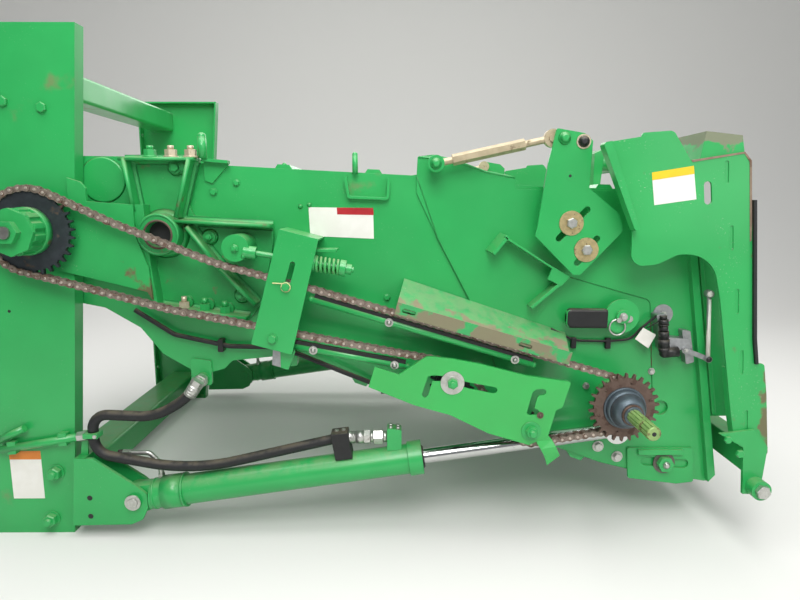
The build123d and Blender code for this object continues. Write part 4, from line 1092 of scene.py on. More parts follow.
@dataclass
class Fasteners:
    """Bolts, nuts, washers and pins of one body, on both sides or on the right alone."""

    body: str
    name: str
    both: list[Fastener]
    right: list[Fastener] = field(default_factory=list)

    def build(self) -> None:
        """Build the fasteners of one body."""
        draft = Draft(self.name)
        for bolt in self.both:
            for side in Side:
                bolt.add_to(draft, side)
        for bolt in self.right:
            bolt.add_to(draft, Side.RIGHT)
        draft.finish(self.body, "green_paint")


FEEDER_BOTH = [
    Fastener(423, 196, CASTING_FACE, 24, Head.HEX),
    Fastener(452, 196, CASTING_FACE, 24, Head.HEX),
    Fastener(616, -215, CASTING_FACE, 22, Head.NUT, stub=8),
    Fastener(520, -24, CASTING_FACE, 22, Head.NUT, stub=8),
    Fastener(533, 120, SHEET_FACE, 19, Head.HEX, washer=13),
    Fastener(608, 149, SHEET_FACE, 17, Head.HEX, washer=12),
    Fastener(812, 73, SHEET_FACE, 16, Head.DOME),
    Fastener(841, 78, SHEET_FACE, 16, Head.DOME),
    Fastener(1092, -225, SHEET_FACE, 17, Head.HEX, washer=12),
    Fastener(1247, 206, 751, 36, Head.DOME, PAINT, washer=27),
    Fastener(1674, 22, ADJUSTER_FACE, 30, Head.HEX, ZINC, washer=39, washer_finish=YELLOW_ZINC),
    Fastener(1725, -62, ADJUSTER_FACE, 30, Head.HEX, ZINC, washer=39, washer_finish=YELLOW_ZINC),
    Fastener(1642, 282, ADJUSTER_FACE, 40, Head.DOME, PAINT),
    # A green disc closes a through-hole, and the small black disc on it is painted shade of the hole
    Fastener(1664, 168, 761.2, 30, Head.PIN, PAINT, stub=1.2),
    Fastener(1664, 168, 762.4, 9, Head.PIN, BLACK_PAINT_AND_HOLE_SHADE, stub=0.5),
    Fastener(1701, 272, ADJUSTER_FACE, 36, Head.DOME, BLACK_PAINT_AND_HOLE_SHADE, washer=23, washer_finish=PALE_ZINC),
    Fastener(1822, -748, OVERLAY_FACE, 26, Head.HEX, ZINC, washer=20),
    Fastener(1890, -786, OVERLAY_FACE, 26, Head.HEX, ZINC, washer=20),
    Fastener(1770, -531, OVERLAY_FACE, 17, Head.HEX, ZINC, washer=12),
    Fastener(2052, -806, 720, 26, Head.DOME, ZINC),
    Fastener(2052, -806, 698, 30, Head.DOME, WORN_STEEL, washer=38, washer_finish=WORN_STEEL),
    Fastener(1885, -290, 738, 17, Head.HEX, ZINC, washer=12),
    Fastener(1942, -560, OVERLAY_FACE, 19, Head.HEX, ZINC, washer=14),
    Fastener(1960, 60, OVERLAY_FACE, 17, Head.HEX),
    Fastener(1990, -480, OVERLAY_FACE, 17, Head.HEX, ZINC, washer=12),
]
FEEDER_RIGHT = [
    Fastener(1299, -473, GUARD_FACE, 30, Head.NUT, PAINT, washer=38, stub=10, washer_finish=ZINC),
    Fastener(1299, -473, 844, 22, Head.DOME, ZINC, washer=22),
    Fastener(1552, -633, GUARD_FACE, 34, Head.NUT, PAINT, washer=32, stub=14, washer_finish=PAINT),
    Fastener(1579, -580, GUARD_FACE, 12, Head.DOME, RUSTY_DISC, washer=11),
    Fastener(784, -170, CHANNEL_FACE, 24, Head.HEX, PAINT, washer=17),
    Fastener(737, -333, CHANNEL_FACE, 24, Head.HEX, PAINT, washer=17),
    Fastener(628, -52, TENSIONER_FACE, 22, Head.NUT, PAINT, stub=8),
    Fastener(652, -77, TENSIONER_FACE, 14, Head.DOME, PAINT),
    Fastener(1861, -281, 750, 19, Head.HEX, ZINC, washer=14),
    Fastener(2015, -283, OVERLAY_FACE, 20, Head.HEX, ZINC, washer=34, washer_finish=ALUMINIUM_AND_PAINTED_REFLECTION),
    Fastener(1992, -298, 740, 9, Head.DOME, ZINC),
    Fastener(2012, -372, 740, 9, Head.DOME, ZINC),
    Fastener(2078, -395, 738, 13, Head.NUT, ZINC, stub=3),
]
POST_BOTH = [
    Fastener(-24, -812, POST_FACE, 40, Head.NUT, PAINT, washer=29, stub=12),
    Fastener(-53, -979, POST_FACE, 40, Head.NUT, PAINT, washer=29, stub=12),
    Fastener(40, 373, POST_FACE, 28, Head.HEX),
    Fastener(-77, 391, POST_FACE, 28, Head.HEX),
    Fastener(-125, -260, POST_FACE, 10, Head.PIN, BLACK_PAINT_AND_HOLE_SHADE, stub=0.6),
    Fastener(-168, -315, POST_FACE, 10, Head.PIN, BLACK_PAINT_AND_HOLE_SHADE, stub=0.6),
    Fastener(248, -897, 794, 34, Head.PIN, ZINC, stub=5, washer=27, washer_finish=ZINC),
    # Flat black discs on the anchor: painted shade of two holes
    Fastener(102, -885, ANCHOR_FACE, 18, Head.PIN, BLACK_PAINT_AND_HOLE_SHADE, stub=0.6),
    Fastener(100, -950, ANCHOR_FACE, 18, Head.PIN, BLACK_PAINT_AND_HOLE_SHADE, stub=0.6),
    Fastener(136, -670, 785, 12, Head.HEX, ZINC),
]
FACE_BOTH = [
    Fastener(2300, -833, 858, 40, Head.HEX, ZINC),
    Fastener(2239, -720, 820, 24, Head.HEX),
    Fastener(2196, -672, 820, 22, Head.HEX),
]
ROD_BOLT = Fastener(1858, -668, 777, 30, Head.HEX, ZINC, washer=21, washer_finish=ZINC)


@dataclass
class Hoses:
    """Pressure hoses, their ferrules and fittings, on both sides."""

    radius: float = 17.0
    barrel_route: tuple[Point3, ...] = (
        (984, -690, CYLINDER_PLANE), (940, -690.5, CYLINDER_PLANE), (440, -800, HOSE_PLANE),
        (120, -738, HOSE_PLANE), (120, -678, HOSE_PLANE))
    barrel_radii: tuple[float, ...] = (361, 709, 62)
    feeder_route: tuple[Point3, ...] = (
        (120, -662, HOSE_PLANE), (120, -602, HOSE_PLANE), (330, -612, HOSE_PLANE),
        (440, -545, HOSE_PLANE), (470, -500, HOSE_PLANE))
    feeder_radii: tuple[float, ...] = (49, 189, 208)
    port: Point3 = (1092, -688, CYLINDER_PLANE)
    crimp: float = 21.5
    barrel_stages: tuple[tuple[float, float, float, int, float], ...] = (
        (-44, 4, 20.5, 28, 0.0), (4, 30, 21.5, 28, 0.0), (30, 50, 24.0, 6, 0.0), (50, 62, 18.0, 24, 0.0),
        (62, 92, 26.0, 6, 0.4))
    elbow_stages: tuple[tuple[float, float, float, int], ...] = ((46, 6, 20.5, 28), (6, -14, 22.0, 6))
    clamp_outline: tuple[Point2, ...] = ((905, -668), (962, -661), (978, -752), (921, -759))
    clamp_screws: tuple[Point2, ...] = ((924, -673), (947, -670))

    def hose(self, name: str, corners: Sequence[Point3], radii: Sequence[float],
             side: Side) -> bpy.types.Object:
        """Hose along the route of its CAD solid.

        Args:
            name: Name of the object.
            corners: Corners as x, z and y.
            radii: Radius of each bend.
            side: Side of the machine.

        Returns:
            The hose, not yet on a body.
        """
        path = rounded_path([spot(*corner, side) for corner in corners], radii)
        draft = Draft(name)
        draft.tube(resample(path, 12), self.radius, RUBBER, 20)
        data = bpy.data.meshes.new(name)
        draft.mesh.to_mesh(data)
        draft.mesh.free()
        data.materials.append(Paintbox.get(RUBBER))
        made = bpy.data.objects.new(name, data)
        bpy.context.scene.collection.objects.link(made)
        LOG.info("%s bends between its ends", name)
        return made

    def build(self) -> None:
        """Build both runs on both sides, and their fittings."""
        for side in Side:
            tag = side.name.lower()
            barrel = self.hose(f"barrel_hose_{tag}", self.barrel_route, self.barrel_radii, side)
            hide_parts(f"lift_hose_{tag}")
            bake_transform(barrel)
            feeder = self.hose(f"feeder_hose_{tag}", self.feeder_route, self.feeder_radii, side)
            if side is Side.RIGHT:
                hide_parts("feeder_hoses")
            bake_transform(feeder)
            self.fittings(side, tag)

    def fittings(self, side: Side, tag: str) -> None:
        """Ferrules and hex fittings at the ends of the hoses.

        Args:
            side: Side of the machine.
            tag: Name of the side.
        """
        draft = Draft(f"barrel_fittings_{tag}")
        start, port = spot(985, -690, CYLINDER_PLANE, side), spot(*self.port, side)
        ahead = (port - start).normalized()
        for low, high, radius, sides, turn in self.barrel_stages:
            draft.rod(start + ahead * low * MM, start + ahead * high * MM, radius, ZINC, sides, turn=turn)
        for k in range(5):
            ring = start - ahead * (38 - 8 * k) * MM
            draft.rod(ring, ring + ahead * 3 * MM, self.crimp, ZINC, 28)
        draft.rod(start + ahead * self.barrel_stages[-1][1] * MM, port, 19.0, ZINC, 24)
        self.clamp(draft, side)
        draft.finish(f"barrel_{tag}", "shaft_steel")
        draft = Draft(f"elbow_fittings_{tag}")
        before, end = (spot(*corner, side) for corner in self.feeder_route[-2:])
        back = (before - end).normalized()
        for low, high, radius, sides in self.elbow_stages:
            draft.rod(end + back * low * MM, end + back * high * MM, radius, ZINC, sides)
        for k in range(4):
            ring = end + back * (40 - 9 * k) * MM
            draft.rod(ring, ring - back * 3 * MM, self.crimp, ZINC, 28)
        x, z, _ = self.feeder_route[-1]
        draft.disc(x, z, 712, 738, 24.0, ZINC, 6, side=side)
        draft.finish("feeder", "shaft_steel")

    def clamp(self, draft: Draft, side: Side) -> None:
        """Plastic clamp that holds the hose on the barrel.

        Args:
            draft: Draft that takes it.
            side: Side of the machine.
        """
        draft.plate(self.clamp_outline, 722, 60, PLASTIC, side, 3)
        for x, z in self.clamp_screws:
            draft.upright(x, z, z + 12, 752, 7, ZINC, 6, side=side)


@dataclass
class Cylinders:
    """Weld beads, collars, a small pipe and the port screws of the lift cylinders."""

    base: Point2 = (248.0, -897.0)
    rod_pin: Point2 = (1858.0, -668.0)
    bore: float = 46.0
    sleeves: tuple[Point3, ...] = ((60, 51.8, 7), (92, 56.0, 68), (160, 57.5, 7), (924, 53.0, 6))
    pipe_plane: float = 731.0
    pipe: tuple[Point2, ...] = ((212, -748), (288, -748), (322, -786), (325, -842))
    pipe_nuts: tuple[tuple[Point2, Point2, float, Finish, int], ...] = (
        ((200, -748), (232, -748), 11.5, ZINC, 6), ((184, -748), (200, -748), 10, RUBBER, 20),
        ((324, -822), (325, -846), 11.5, ZINC, 6))
    port_screws: tuple[Point2, ...] = ((1104, -656), (1128, -659))

    def along(self, distance: float, side: Side) -> Vector:
        """Point on the axis of a cylinder, a distance from its base pin, in metres."""
        start, end = spot(*self.base, CYLINDER_PLANE, side), spot(*self.rod_pin, CYLINDER_PLANE, side)
        return start + (end - start).normalized() * distance * MM

    def build(self) -> None:
        """Build the small parts of both barrels."""
        for side in Side:
            tag = side.name.lower()
            draft = Draft(f"barrel_trim_{tag}")
            for distance, radius, width in self.sleeves:
                first, last = self.along(distance, side), self.along(distance + width, side)
                draft.sleeve(first, last, radius, self.bore, PAINT)
            draft.rod(self.along(972, side), self.along(978, side), 40.0, BLACK_PAINT_AND_HOLE_SHADE, 40, 34.0)
            bends = [spot(x, z, self.pipe_plane, side) for x, z in self.pipe]
            draft.tube(resample(rounded_path(bends, (26, 30)), 6), 8.5, ZINC, 16)
            for start, end, radius, look, sides in self.pipe_nuts:
                first, last = spot(*start, self.pipe_plane, side), spot(*end, self.pipe_plane, side)
                draft.rod(first, last, radius, look, sides)
            for x, z in self.port_screws:
                for y in (732, 756):
                    draft.upright(x, z, z + 9, y, 6.5, ZINC, 12, side=side)
            draft.finish(f"barrel_{tag}", "green_paint")


@dataclass
class ClutchRing:
    """Round drum of the slip clutch beside the sprocket."""

    inner: float = 807.0
    width: float = 30.0
    radius: float = 74.0

    def build(self) -> None:
        """Build the drum on the upper shaft."""
        draft = Draft("clutch_ring")
        draft.disc(0, 0, self.inner, self.inner + self.width, self.radius, CAST_PAINT, 64, self.radius - 1.5)
        draft.finish("upper_shaft", "green_paint")


@dataclass
class Tensioner:
    """Spring and ribbed sleeve of the chain tensioner."""

    start: Point2 = (874.0, -101.5)
    end: Point2 = (946.0, -113.5)
    turns: float = 5.5
    coil: float = 21.0
    wire: float = 4.5
    steps: int = 160
    ribs: int = 14
    rib_pitch: float = 7.0
    rib_radius: float = 10.2
    ribs_start: float = -120.0

    def build(self) -> None:
        """Build the spring as a coil round the rod."""
        first, last = spot(*self.start, CHAIN_PLANE), spot(*self.end, CHAIN_PLANE)
        ahead = (last - first).normalized()
        up = ahead.cross(Vector((0, 1, 0))).normalized()
        over = ahead.cross(up)
        path = []
        for k in range(self.steps + 1):
            share = k / self.steps
            angle = math.tau * self.turns * share
            around = up * math.cos(angle) + over * math.sin(angle)
            path.append(first.lerp(last, share) + around * self.coil * MM)
        draft = Draft("tensioner_spring")
        draft.tube(path, self.wire, DIRTY_PAINT, 10)
        for k in range(self.ribs):
            ring = first + ahead * (self.ribs_start + self.rib_pitch * k) * MM
            draft.rod(ring, ring + ahead * 3 * MM, self.rib_radius, ZINC, 16)
        draft.finish("feeder", "green_paint")


@dataclass
class CastRounding:
    """Fillets, rounded crowns and rims of the castings, and what stands on their top edge."""

    web: float = 700.0
    crown: float = 751.0
    fillet: float = 11.0
    ribs: tuple[tuple[float, float, float, float, float], ...] = (
        (277, 222, 300, 60, 14), (480, 220, 430, 40, 14), (400, 30, 725, 12, 12), (461, 10, 560, -124, 14),
        (560, -124, 668, -240, 14), (344, -244, 640, -284, 12), (262, 220, 496, 220, 10))
    seats: tuple[Point2, ...] = ((423, 196), (452, 196), (616, -215), (520, -24))
    boss: Point2 = (375.0, -13.0)
    boss_rims: tuple[tuple[float, float, Finish], ...] = ((61.5, 4.5, CAST_PAINT), (43.5, 3.5, RUSTY_DISC))
    top_bolts: tuple[tuple[float, Finish], ...] = ((352, PAINT), (417, PALE_ZINC), (479, PALE_ZINC))
    top_bolt_stages: tuple[tuple[float, float, float, int], ...] = (
        (225, 230, 23, 28), (230, 250, 19, 6), (250, 262, 10, 16))
    foot_bolts: tuple[tuple[float, float, Finish], ...] = (
        (434, -258, PALE_ZINC), (500, -264, PAINT), (565, -274, PAINT))
    roof_pins: tuple[tuple[float, ...], ...] = ((513, 224, 716, 13.5, 66), (992, 176, 700, 9.0, 60))

    def build(self) -> None:
        """Build the rounding of both castings."""
        draft = Draft("cast_rounding")
        for side in Side:
            for rib in self.ribs:
                self.rib(draft, side, *rib)
            for x, z in self.seats:
                draft.disc(x, z, self.web, self.web + 7, 27, CAST_PAINT, 32, 20, side)
            x, z = self.boss
            draft.disc(x, z, self.web, self.web + 14, 80, CAST_PAINT, 48, 66, side)
            # Black disc deep in the boss: painted shade on the floor of the hole
            draft.disc(x, z, self.web + 26, self.web + 28, 42.5, BLACK_PAINT_AND_HOLE_SHADE, 48, side=side)
            for radius, thick, look in self.boss_rims:
                draft.hoop(x, z, self.crown + 11, radius, thick, look, 48, 10, side)
            self.studs(draft, side)
        draft.finish("feeder", "green_paint")

    def rib(self, draft: Draft, side: Side, x0: float, z0: float, x1: float, z1: float,
            width: float) -> None:
        """Rounded crown of a rib and the fillets at its foot.

        Args:
            draft: Draft that takes them.
            side: Side of the machine.
            x0: Start of the rib.
            z0: Start of the rib.
            x1: End of the rib.
            z1: End of the rib.
            width: Width of the rib.
        """
        length = math.hypot(x1 - x0, z1 - z0)
        nx, nz = (z0 - z1) / length, (x1 - x0) / length
        level = self.crown - 1.5
        draft.rod(spot(x0, z0, level, side), spot(x1, z1, level, side), width / 2 + 0.3, CAST_PAINT, 16)
        for hand in (-1, 1):
            rings = []
            for x, z in ((x0, z0), (x1, z1)):
                ring = [spot(x + nx * hand * width / 2, z + nz * hand * width / 2, self.web, side)]
                for step in range(6):
                    turn = math.radians(18 * step)
                    away = width / 2 + self.fillet * (1 - math.sin(turn))
                    ring.append(spot(x + nx * hand * away, z + nz * hand * away,
                                     self.web + self.fillet * (1 - math.cos(turn)), side))
                rings.append(ring)
            draft.loft(rings, CAST_PAINT)

    def studs(self, draft: Draft, side: Side) -> None:
        """Bolts and pins on the top edge of a casting and of the roof.

        Args:
            draft: Draft that takes them.
            side: Side of the machine.
        """
        for x, look in self.top_bolts:
            for foot, top, radius, sides in self.top_bolt_stages:
                draft.upright(x, foot, top, 724, radius, look, sides, side=side)
        for x, z, look in self.foot_bolts:
            draft.upright(x, z - 8, z + 3, 730, 23, PAINT, 28, side=side)
            draft.upright(x, z + 3, z + 26, 730, 17.5, look, 6, turn=0.3, side=side)
            draft.upright(x, z + 26, z + 44, 730, 9.5, look, 16, 8.5, side=side)
        for x, z, y, radius, height in self.roof_pins:
            draft.upright(x, z, z + height, y, radius, PAINT, 20, side=side)
            draft.ball(spot(x, z + height, y, side), radius, PAINT)


@dataclass
class GuideBars:
    """Round guide bars of the chain with their wear strips, standoffs and bolts."""

    bars: tuple[tuple[Point2, Point2, tuple[Point2, ...]], ...] = (
        ((858, -213), (1560, -425), ((1100, -286), (1500, -407))),
        ((795, -362), (1156, -431), ((860, -375), (1117, -424))),
    )
    radius: float = 11.0
    standoff: float = 10.0
    strip_inner: float = 793.0
    strip_thick: float = 14.0
    strip_low: float = 8.0
    strip_high: float = 20.0
    strip_inset: float = 6.0
    bolt_face: float = 809.0
    overlay_from: float = 1300.0

    def build(self) -> None:
        """Build both bars."""
        draft = Draft("guide_bars")
        low, high, inset = self.strip_low, self.strip_high, self.strip_inset
        for start, end, bolts in self.bars:
            heading = math.atan2(end[1] - start[1], end[0] - start[0])
            ax, az = math.cos(heading), math.sin(heading)
            draft.rod(spot(*start, CHAIN_PLANE), spot(*end, CHAIN_PLANE), self.radius, PAINT, 24)
            for x, z in (start, end):
                draft.ball(spot(x, z, CHAIN_PLANE), self.radius, PAINT)
            corners = []
            for (x, z), shift, rise in ((start, inset, low), (end, -inset, low), (end, -inset, high),
                                        (start, inset, high)):
                corners.append((x + ax * shift - az * rise, z + az * shift + ax * rise))
            draft.plate(corners, self.strip_inner, self.strip_thick, PLASTIC)
            for x, z in bolts:
                foot = OVERLAY_FACE if x > self.overlay_from else SHEET_FACE
                draft.disc(x, z, foot, 794, self.standoff, PAINT, 20)
                bolt = Fastener(x, z, self.bolt_face, 17, Head.DOME, ZINC, washer=14, washer_finish=ZINC)
                bolt.add_to(draft, Side.RIGHT)
        draft.finish("feeder", "green_paint", ["chain_guides"])


@dataclass
class StrandGuard:
    """Slotted plate over the lower strand, with its folded top edge and its bent tab."""

    outline: tuple[Point2, ...] = (
        (1055, -421), (1131, -446), (1208, -395), (1219, -389), (1232, -389), (1298, -396), (1387, -413),
        (1532, -451), (1668, -471), (1672, -476), (1650, -551), (1645, -557), (1629, -564), (1607, -649),
        (1547, -680), (1415, -640), (1293, -579), (1179, -546), (1035, -486))
    openings: tuple[tuple[Point2, ...], ...] = (
        ((1203, -510), (1207, -519), (1215, -521), (1222, -515), (1236, -468), (1262, -468), (1300, -478),
         (1350, -492), (1428, -508), (1438, -505), (1442, -497), (1436, -488), (1352, -472), (1300, -460),
         (1262, -450), (1238, -448), (1222, -452)),
        ((1552, -505), (1562, -496), (1585, -493), (1595, -499), (1595, -508), (1588, -514), (1574, -515),
         (1568, -522), (1560, -557), (1573, -563), (1577, -572), (1570, -579), (1545, -580), (1536, -572)))
    tab: tuple[tuple[float, float, float, float, float], ...] = (
        (1553, -640, 1606, -646, -1), (1569, -668, 1621, -664, -1), (1582, -690, 1631, -682, 9),
        (1594, -712, 1638, -697, 9), (1606, -746, 1646, -713, 5))
    inner: float = 836.0
    thick: float = 6.0
    fold_depth: float = 12.0

    def build(self) -> None:
        """Build the plate, its folded edge and its tab."""
        draft = Draft("strand_guard")
        draft.pierced(self.outline, self.openings, self.inner, self.thick, GUARD_PAINT)
        for (x0, z0), (x1, z1) in zip(self.outline[1:8], self.outline[2:9]):
            lip = [(x0, z0 - 1), (x1, z1 - 1), (x1, z1 - 6), (x0, z0 - 6)]
            draft.plate(lip, self.inner - self.fold_depth, self.fold_depth + 0.5, GUARD_PAINT)
        rings = []
        for x0, z0, x1, z1, rise in self.tab:
            low, high = self.inner + rise, self.inner + rise + self.thick
            rings.append([spot(x0, z0, low), spot(x1, z1, low), spot(x1, z1, high), spot(x0, z0, high)])
        draft.loft(rings, GUARD_PAINT)
        draft.finish("feeder", "green_paint", ["lower_guard"])


@dataclass
class BentBrackets:
    """Sheet brackets beside the adjusters, bent into a Z that stands on the side sheet."""

    web: tuple[Point2, ...] = (
        (1472, -16), (1478, -24), (1628, -119), (1684, -153), (1566, -256), (1558, -249), (1670, -152),
        (1626, -125), (1474, -29), (1468, -21))
    tongue: tuple[Point2, ...] = ((1626, -117), (1684, -150), (1657, -181), (1611, -158))
    tab_foot: tuple[Point2, ...] = ((1462, -10), (1470, -16), (1424, -73), (1416, -66))
    tab_edge: tuple[Point2, ...] = ((1477, -17), (1485, -23), (1440, -81), (1432, -74))
    seat: float = OVERLAY_FACE
    reach: float = 52.0

    def build(self) -> None:
        """Build the bracket of each side."""
        draft = Draft("bent_brackets")
        for side in Side:
            draft.plate(self.web, self.seat, self.reach, PAINT, side, 1)
            draft.plate(self.tongue, self.seat + self.reach - 6, 7, PAINT, side, 1)
            rings = [[spot(x, z, y, side) for x, z in ring]
                     for ring, y in ((self.tab_foot, self.seat), (self.tab_edge, self.seat + self.reach))]
            draft.loft(rings, PAINT)
        draft.finish("feeder", "green_paint", ["z_brackets"])


@dataclass
class Harness:
    """Cable along the lower edge of the house, with its clips, and the tie on the channel."""

    route: tuple[Point3, ...] = (
        (262, -263, 706), (388, -346, 706), (568, -386, 706), (718, -388, 712), (801, -407, 730),
        (950, -470, 730), (1060, -522, 706), (1110, -536, 702))
    bends: tuple[float, ...] = (60, 120, 80, 120, 100, 90)
    radius: float = 8.0
    clips: tuple[Point2, ...] = ((540, -382), (1080, -527))
    tie: Point2 = (784, -170)
    tie_plane: float = 837.0
    tie_wire: float = 1.8
    tab: tuple[Point2, ...] = ((731, -366), (801, -366), (801, -384), (778, -442), (726, -426))
    tab_face: tuple[Point2, ...] = ((754, -368), (801, -368), (801, -384), (778, -442), (754, -435))
    ledge: tuple[Point2, ...] = ((862, -56), (940, -56), (936, -66), (862, -66))

    def build(self) -> None:
        """Build the cable, its clips, the tie, the ledge and the tab under the channel."""
        draft = Draft("harness")
        path = rounded_path([spot(*corner) for corner in self.route], self.bends)
        draft.tube(resample(path, 10), self.radius, RUBBER, 14)
        for x, z in self.clips:
            clip = [(x - 9, z - 22), (x + 9, z - 22), (x + 9, z + 20), (x - 9, z + 20)]
            draft.plate(clip, SHEET_FACE, 34, PLASTIC, bevel=2)
        x, z = self.tie
        draft.hoop(x, z, self.tie_plane, 14, self.tie_wire, TIE_PLASTIC, 18, 6)
        tail = spot(x - 40, z + 13, self.tie_plane + 1)
        draft.rod(spot(x - 6, z + 11, self.tie_plane), tail, self.tie_wire, TIE_PLASTIC, 6)
        # Pale strip of the tab: painted reflection of the sky on the green enamel, with the green plate over
        # the rest
        draft.plate(self.tab, 792, 5, ALUMINIUM_AND_PAINTED_REFLECTION, bevel=1)
        draft.plate(self.tab_face, 797, 3, PAINT, bevel=1)
        draft.plate(self.ledge, 742, 56, PAINT, bevel=1)
        draft.finish("feeder", "hose_rubber")


@dataclass
class SideTrim:
    """Seams, swages and blank plates on the side sheets, and the sheets' edges beside the mouth."""

    mouth_plate: tuple[Point2, ...] = (
        (2060, -30), (2160, -30), (2200, -215), (2262, -560), (2262, -640), (2186, -640))
    mouth_step: tuple[Point2, ...] = ((2114, -60), (2128, -60), (2220, -632), (2206, -632))
    lap_seam: tuple[Point2, ...] = ((1190, 168), (1259, -29), (1363, -226), (1556, -700))
    upper_edge: tuple[Point2, ...] = ((1195, 230), (1300, 224), (1412, 184), (1505, 166))
    fold_line: tuple[Point2, ...] = ((1695, -157), (1970, -235), (1999, -564))
    pressing: Point2 = (180, 158)
    plate_white: tuple[Point2, ...] = ((838, 71), (1048, 69), (1050, -31), (842, -22))
    plate_red: tuple[Point2, ...] = ((930, 70), (1048, 69), (1050, 46), (931, 48))
    label_thick: float = 0.8

    def build(self) -> None:
        """Build what lies on the sides."""
        draft = Draft("side_trim")
        for side in Side:
            self.swage(draft, side)
            self.labels(draft, side)
            draft.plate(self.mouth_plate, SHEET_FACE + 0.5, 5, PAINT, side, 1)
            draft.plate(self.mouth_step, SHEET_FACE + 2, 13, PAINT, side, 2)
        draft.finish("feeder", "green_paint")

    def swage(self, draft: Draft, side: Side) -> None:
        """Weld seams and the round pressing of one side.

        Args:
            draft: Draft that takes them.
            side: Side of the machine.
        """
        seam = resample([spot(x, z, OVERLAY_FACE - 0.4, side) for x, z in self.lap_seam], 30)
        draft.tube(seam, 2.4, FOLD_LINE, 8)
        edge = resample([spot(x, z, OVERLAY_FACE, side) for x, z in self.upper_edge], 30)
        draft.tube(edge, 3.5, PAINT, 8)
        fold = [spot(x, z, OVERLAY_FACE, side) for x, z in self.fold_line]
        draft.tube(resample(rounded_path(fold, (24,)), 14), 2.2, FOLD_LINE, 8)
        draft.disc(*self.pressing, SHEET_FACE, SHEET_FACE + 4, 74, PAINT, 48, 68, side)

    def labels(self, draft: Draft, side: Side) -> None:
        """Blank plates of one side."""
        draft.plate(self.plate_white, SHEET_FACE, self.label_thick, LABEL, side, 0.3)
        draft.plate(self.plate_red, SHEET_FACE + self.label_thick, 0.5, LABEL_RED, side)


@dataclass
class LockAndSensor:
    """Grip, ring and cables of the lock lever and of the height sensor."""

    plane: float = CYLINDER_PLANE
    grip: tuple[Point2, ...] = (
        (1686, -254), (1813, -256), (1813, -320), (1686, -318), (1677, -306), (1677, -266))
    grip_ring: Point2 = (1845, -316)
    ring_radius: float = 26.0
    ring_wire: float = 2.8
    plug_x: float = 1994.0
    plug_lean: float = 0.08
    plug_stages: tuple[Point3, ...] = (
        (-278, 11, 11), (-290, 15, 16), (-306, 17, 17), (-310, 14, 14), (-330, 17, 17), (-350, 15, 15),
        (-356, 18, 18), (-384, 18, 15))
    plug_end: float = -404.0
    sensor_end: Point2 = (2050, -398)
    tag: tuple[Point2, ...] = ((1914, -360), (1939, -322), (1983, -346), (1960, -392))
    cable: tuple[Point3, ...] = (
        (1994, -284, 744), (1992, -262, 742), (1968, -292, 724), (1935, -328, 712), (1908, -366, 702),
        (1832, -372, 702), (1717, -370, 700), (1640, -330, 698))
    cable_bends: tuple[float, ...] = (16, 24, 40, 50, 160, 120)
    cable_radius: float = 4.2
    tag_cord: tuple[Point3, ...] = ((1986, -284, 744), (1978, -300, 740), (1950, -322, 724))
    clips: tuple[Point2, ...] = ((1833, -372), (1717, -370))
    link: tuple[Point2, Point2] = ((2152, -424), (2140, -224))
    link_eye: Point2 = (2138, -206)

    def build(self) -> None:
        """Build the small pieces."""
        draft = Draft("lock_and_sensor")
        draft.plate(self.grip, 721, 30, PLASTIC, bevel=8)
        draft.hoop(*self.grip_ring, self.plane, self.ring_radius, self.ring_wire, ZINC, 24, 8)
        draft.disc(1848, -292, 738, 752, 8, ZINC, 16)
        self.plug(draft)
        draft.plate(self.tag, 722, 1.6, WHITE_PLASTIC)
        path = rounded_path([spot(*corner) for corner in self.cable], self.cable_bends)
        draft.tube(resample(path, 8), self.cable_radius, RUBBER, 12)
        cord = rounded_path([spot(*corner) for corner in self.tag_cord], (12,))
        draft.tube(resample(cord, 6), 1.6, RUBBER, 8)
        for x, z in self.clips:
            clip = [(x - 9, z - 26), (x + 9, z - 26), (x + 9, z + 10), (x - 9, z + 10)]
            draft.plate(clip, OVERLAY_FACE, 16, PLASTIC, bevel=2)
        foot, head = (spot(*end, 742) for end in self.link)
        draft.rod(foot, head, 6.6, WHITE_PLASTIC, 16)
        draft.ball(spot(*self.link_eye, 746), 11.5, WHITE_PLASTIC)
        draft.ball(spot(*self.link[0], 746), 10.5, PLASTIC)
        draft.finish("feeder", "black_plastic")

    def plug(self, draft: Draft) -> None:
        """Stepped plug of the sensor, with its elbow.

        Args:
            draft: Draft that takes it.
        """
        def at(z: float) -> Vector:
            """Point on the leaning axis of the plug."""
            return spot(self.plug_x - (z - self.plug_stages[0][0]) * self.plug_lean, z, self.plane)

        ends = [stage[0] for stage in self.plug_stages[1:]] + [self.plug_end]
        for (z, radius, tip), end in zip(self.plug_stages, ends):
            draft.rod(at(z), at(end), radius, PLASTIC, 24, tip)
        corner = spot(self.plug_x + 10, self.plug_end, self.plane)
        draft.ball(corner, 15, PLASTIC)
        draft.rod(corner, spot(*self.sensor_end, self.plane), 15, PLASTIC, 24, 17)


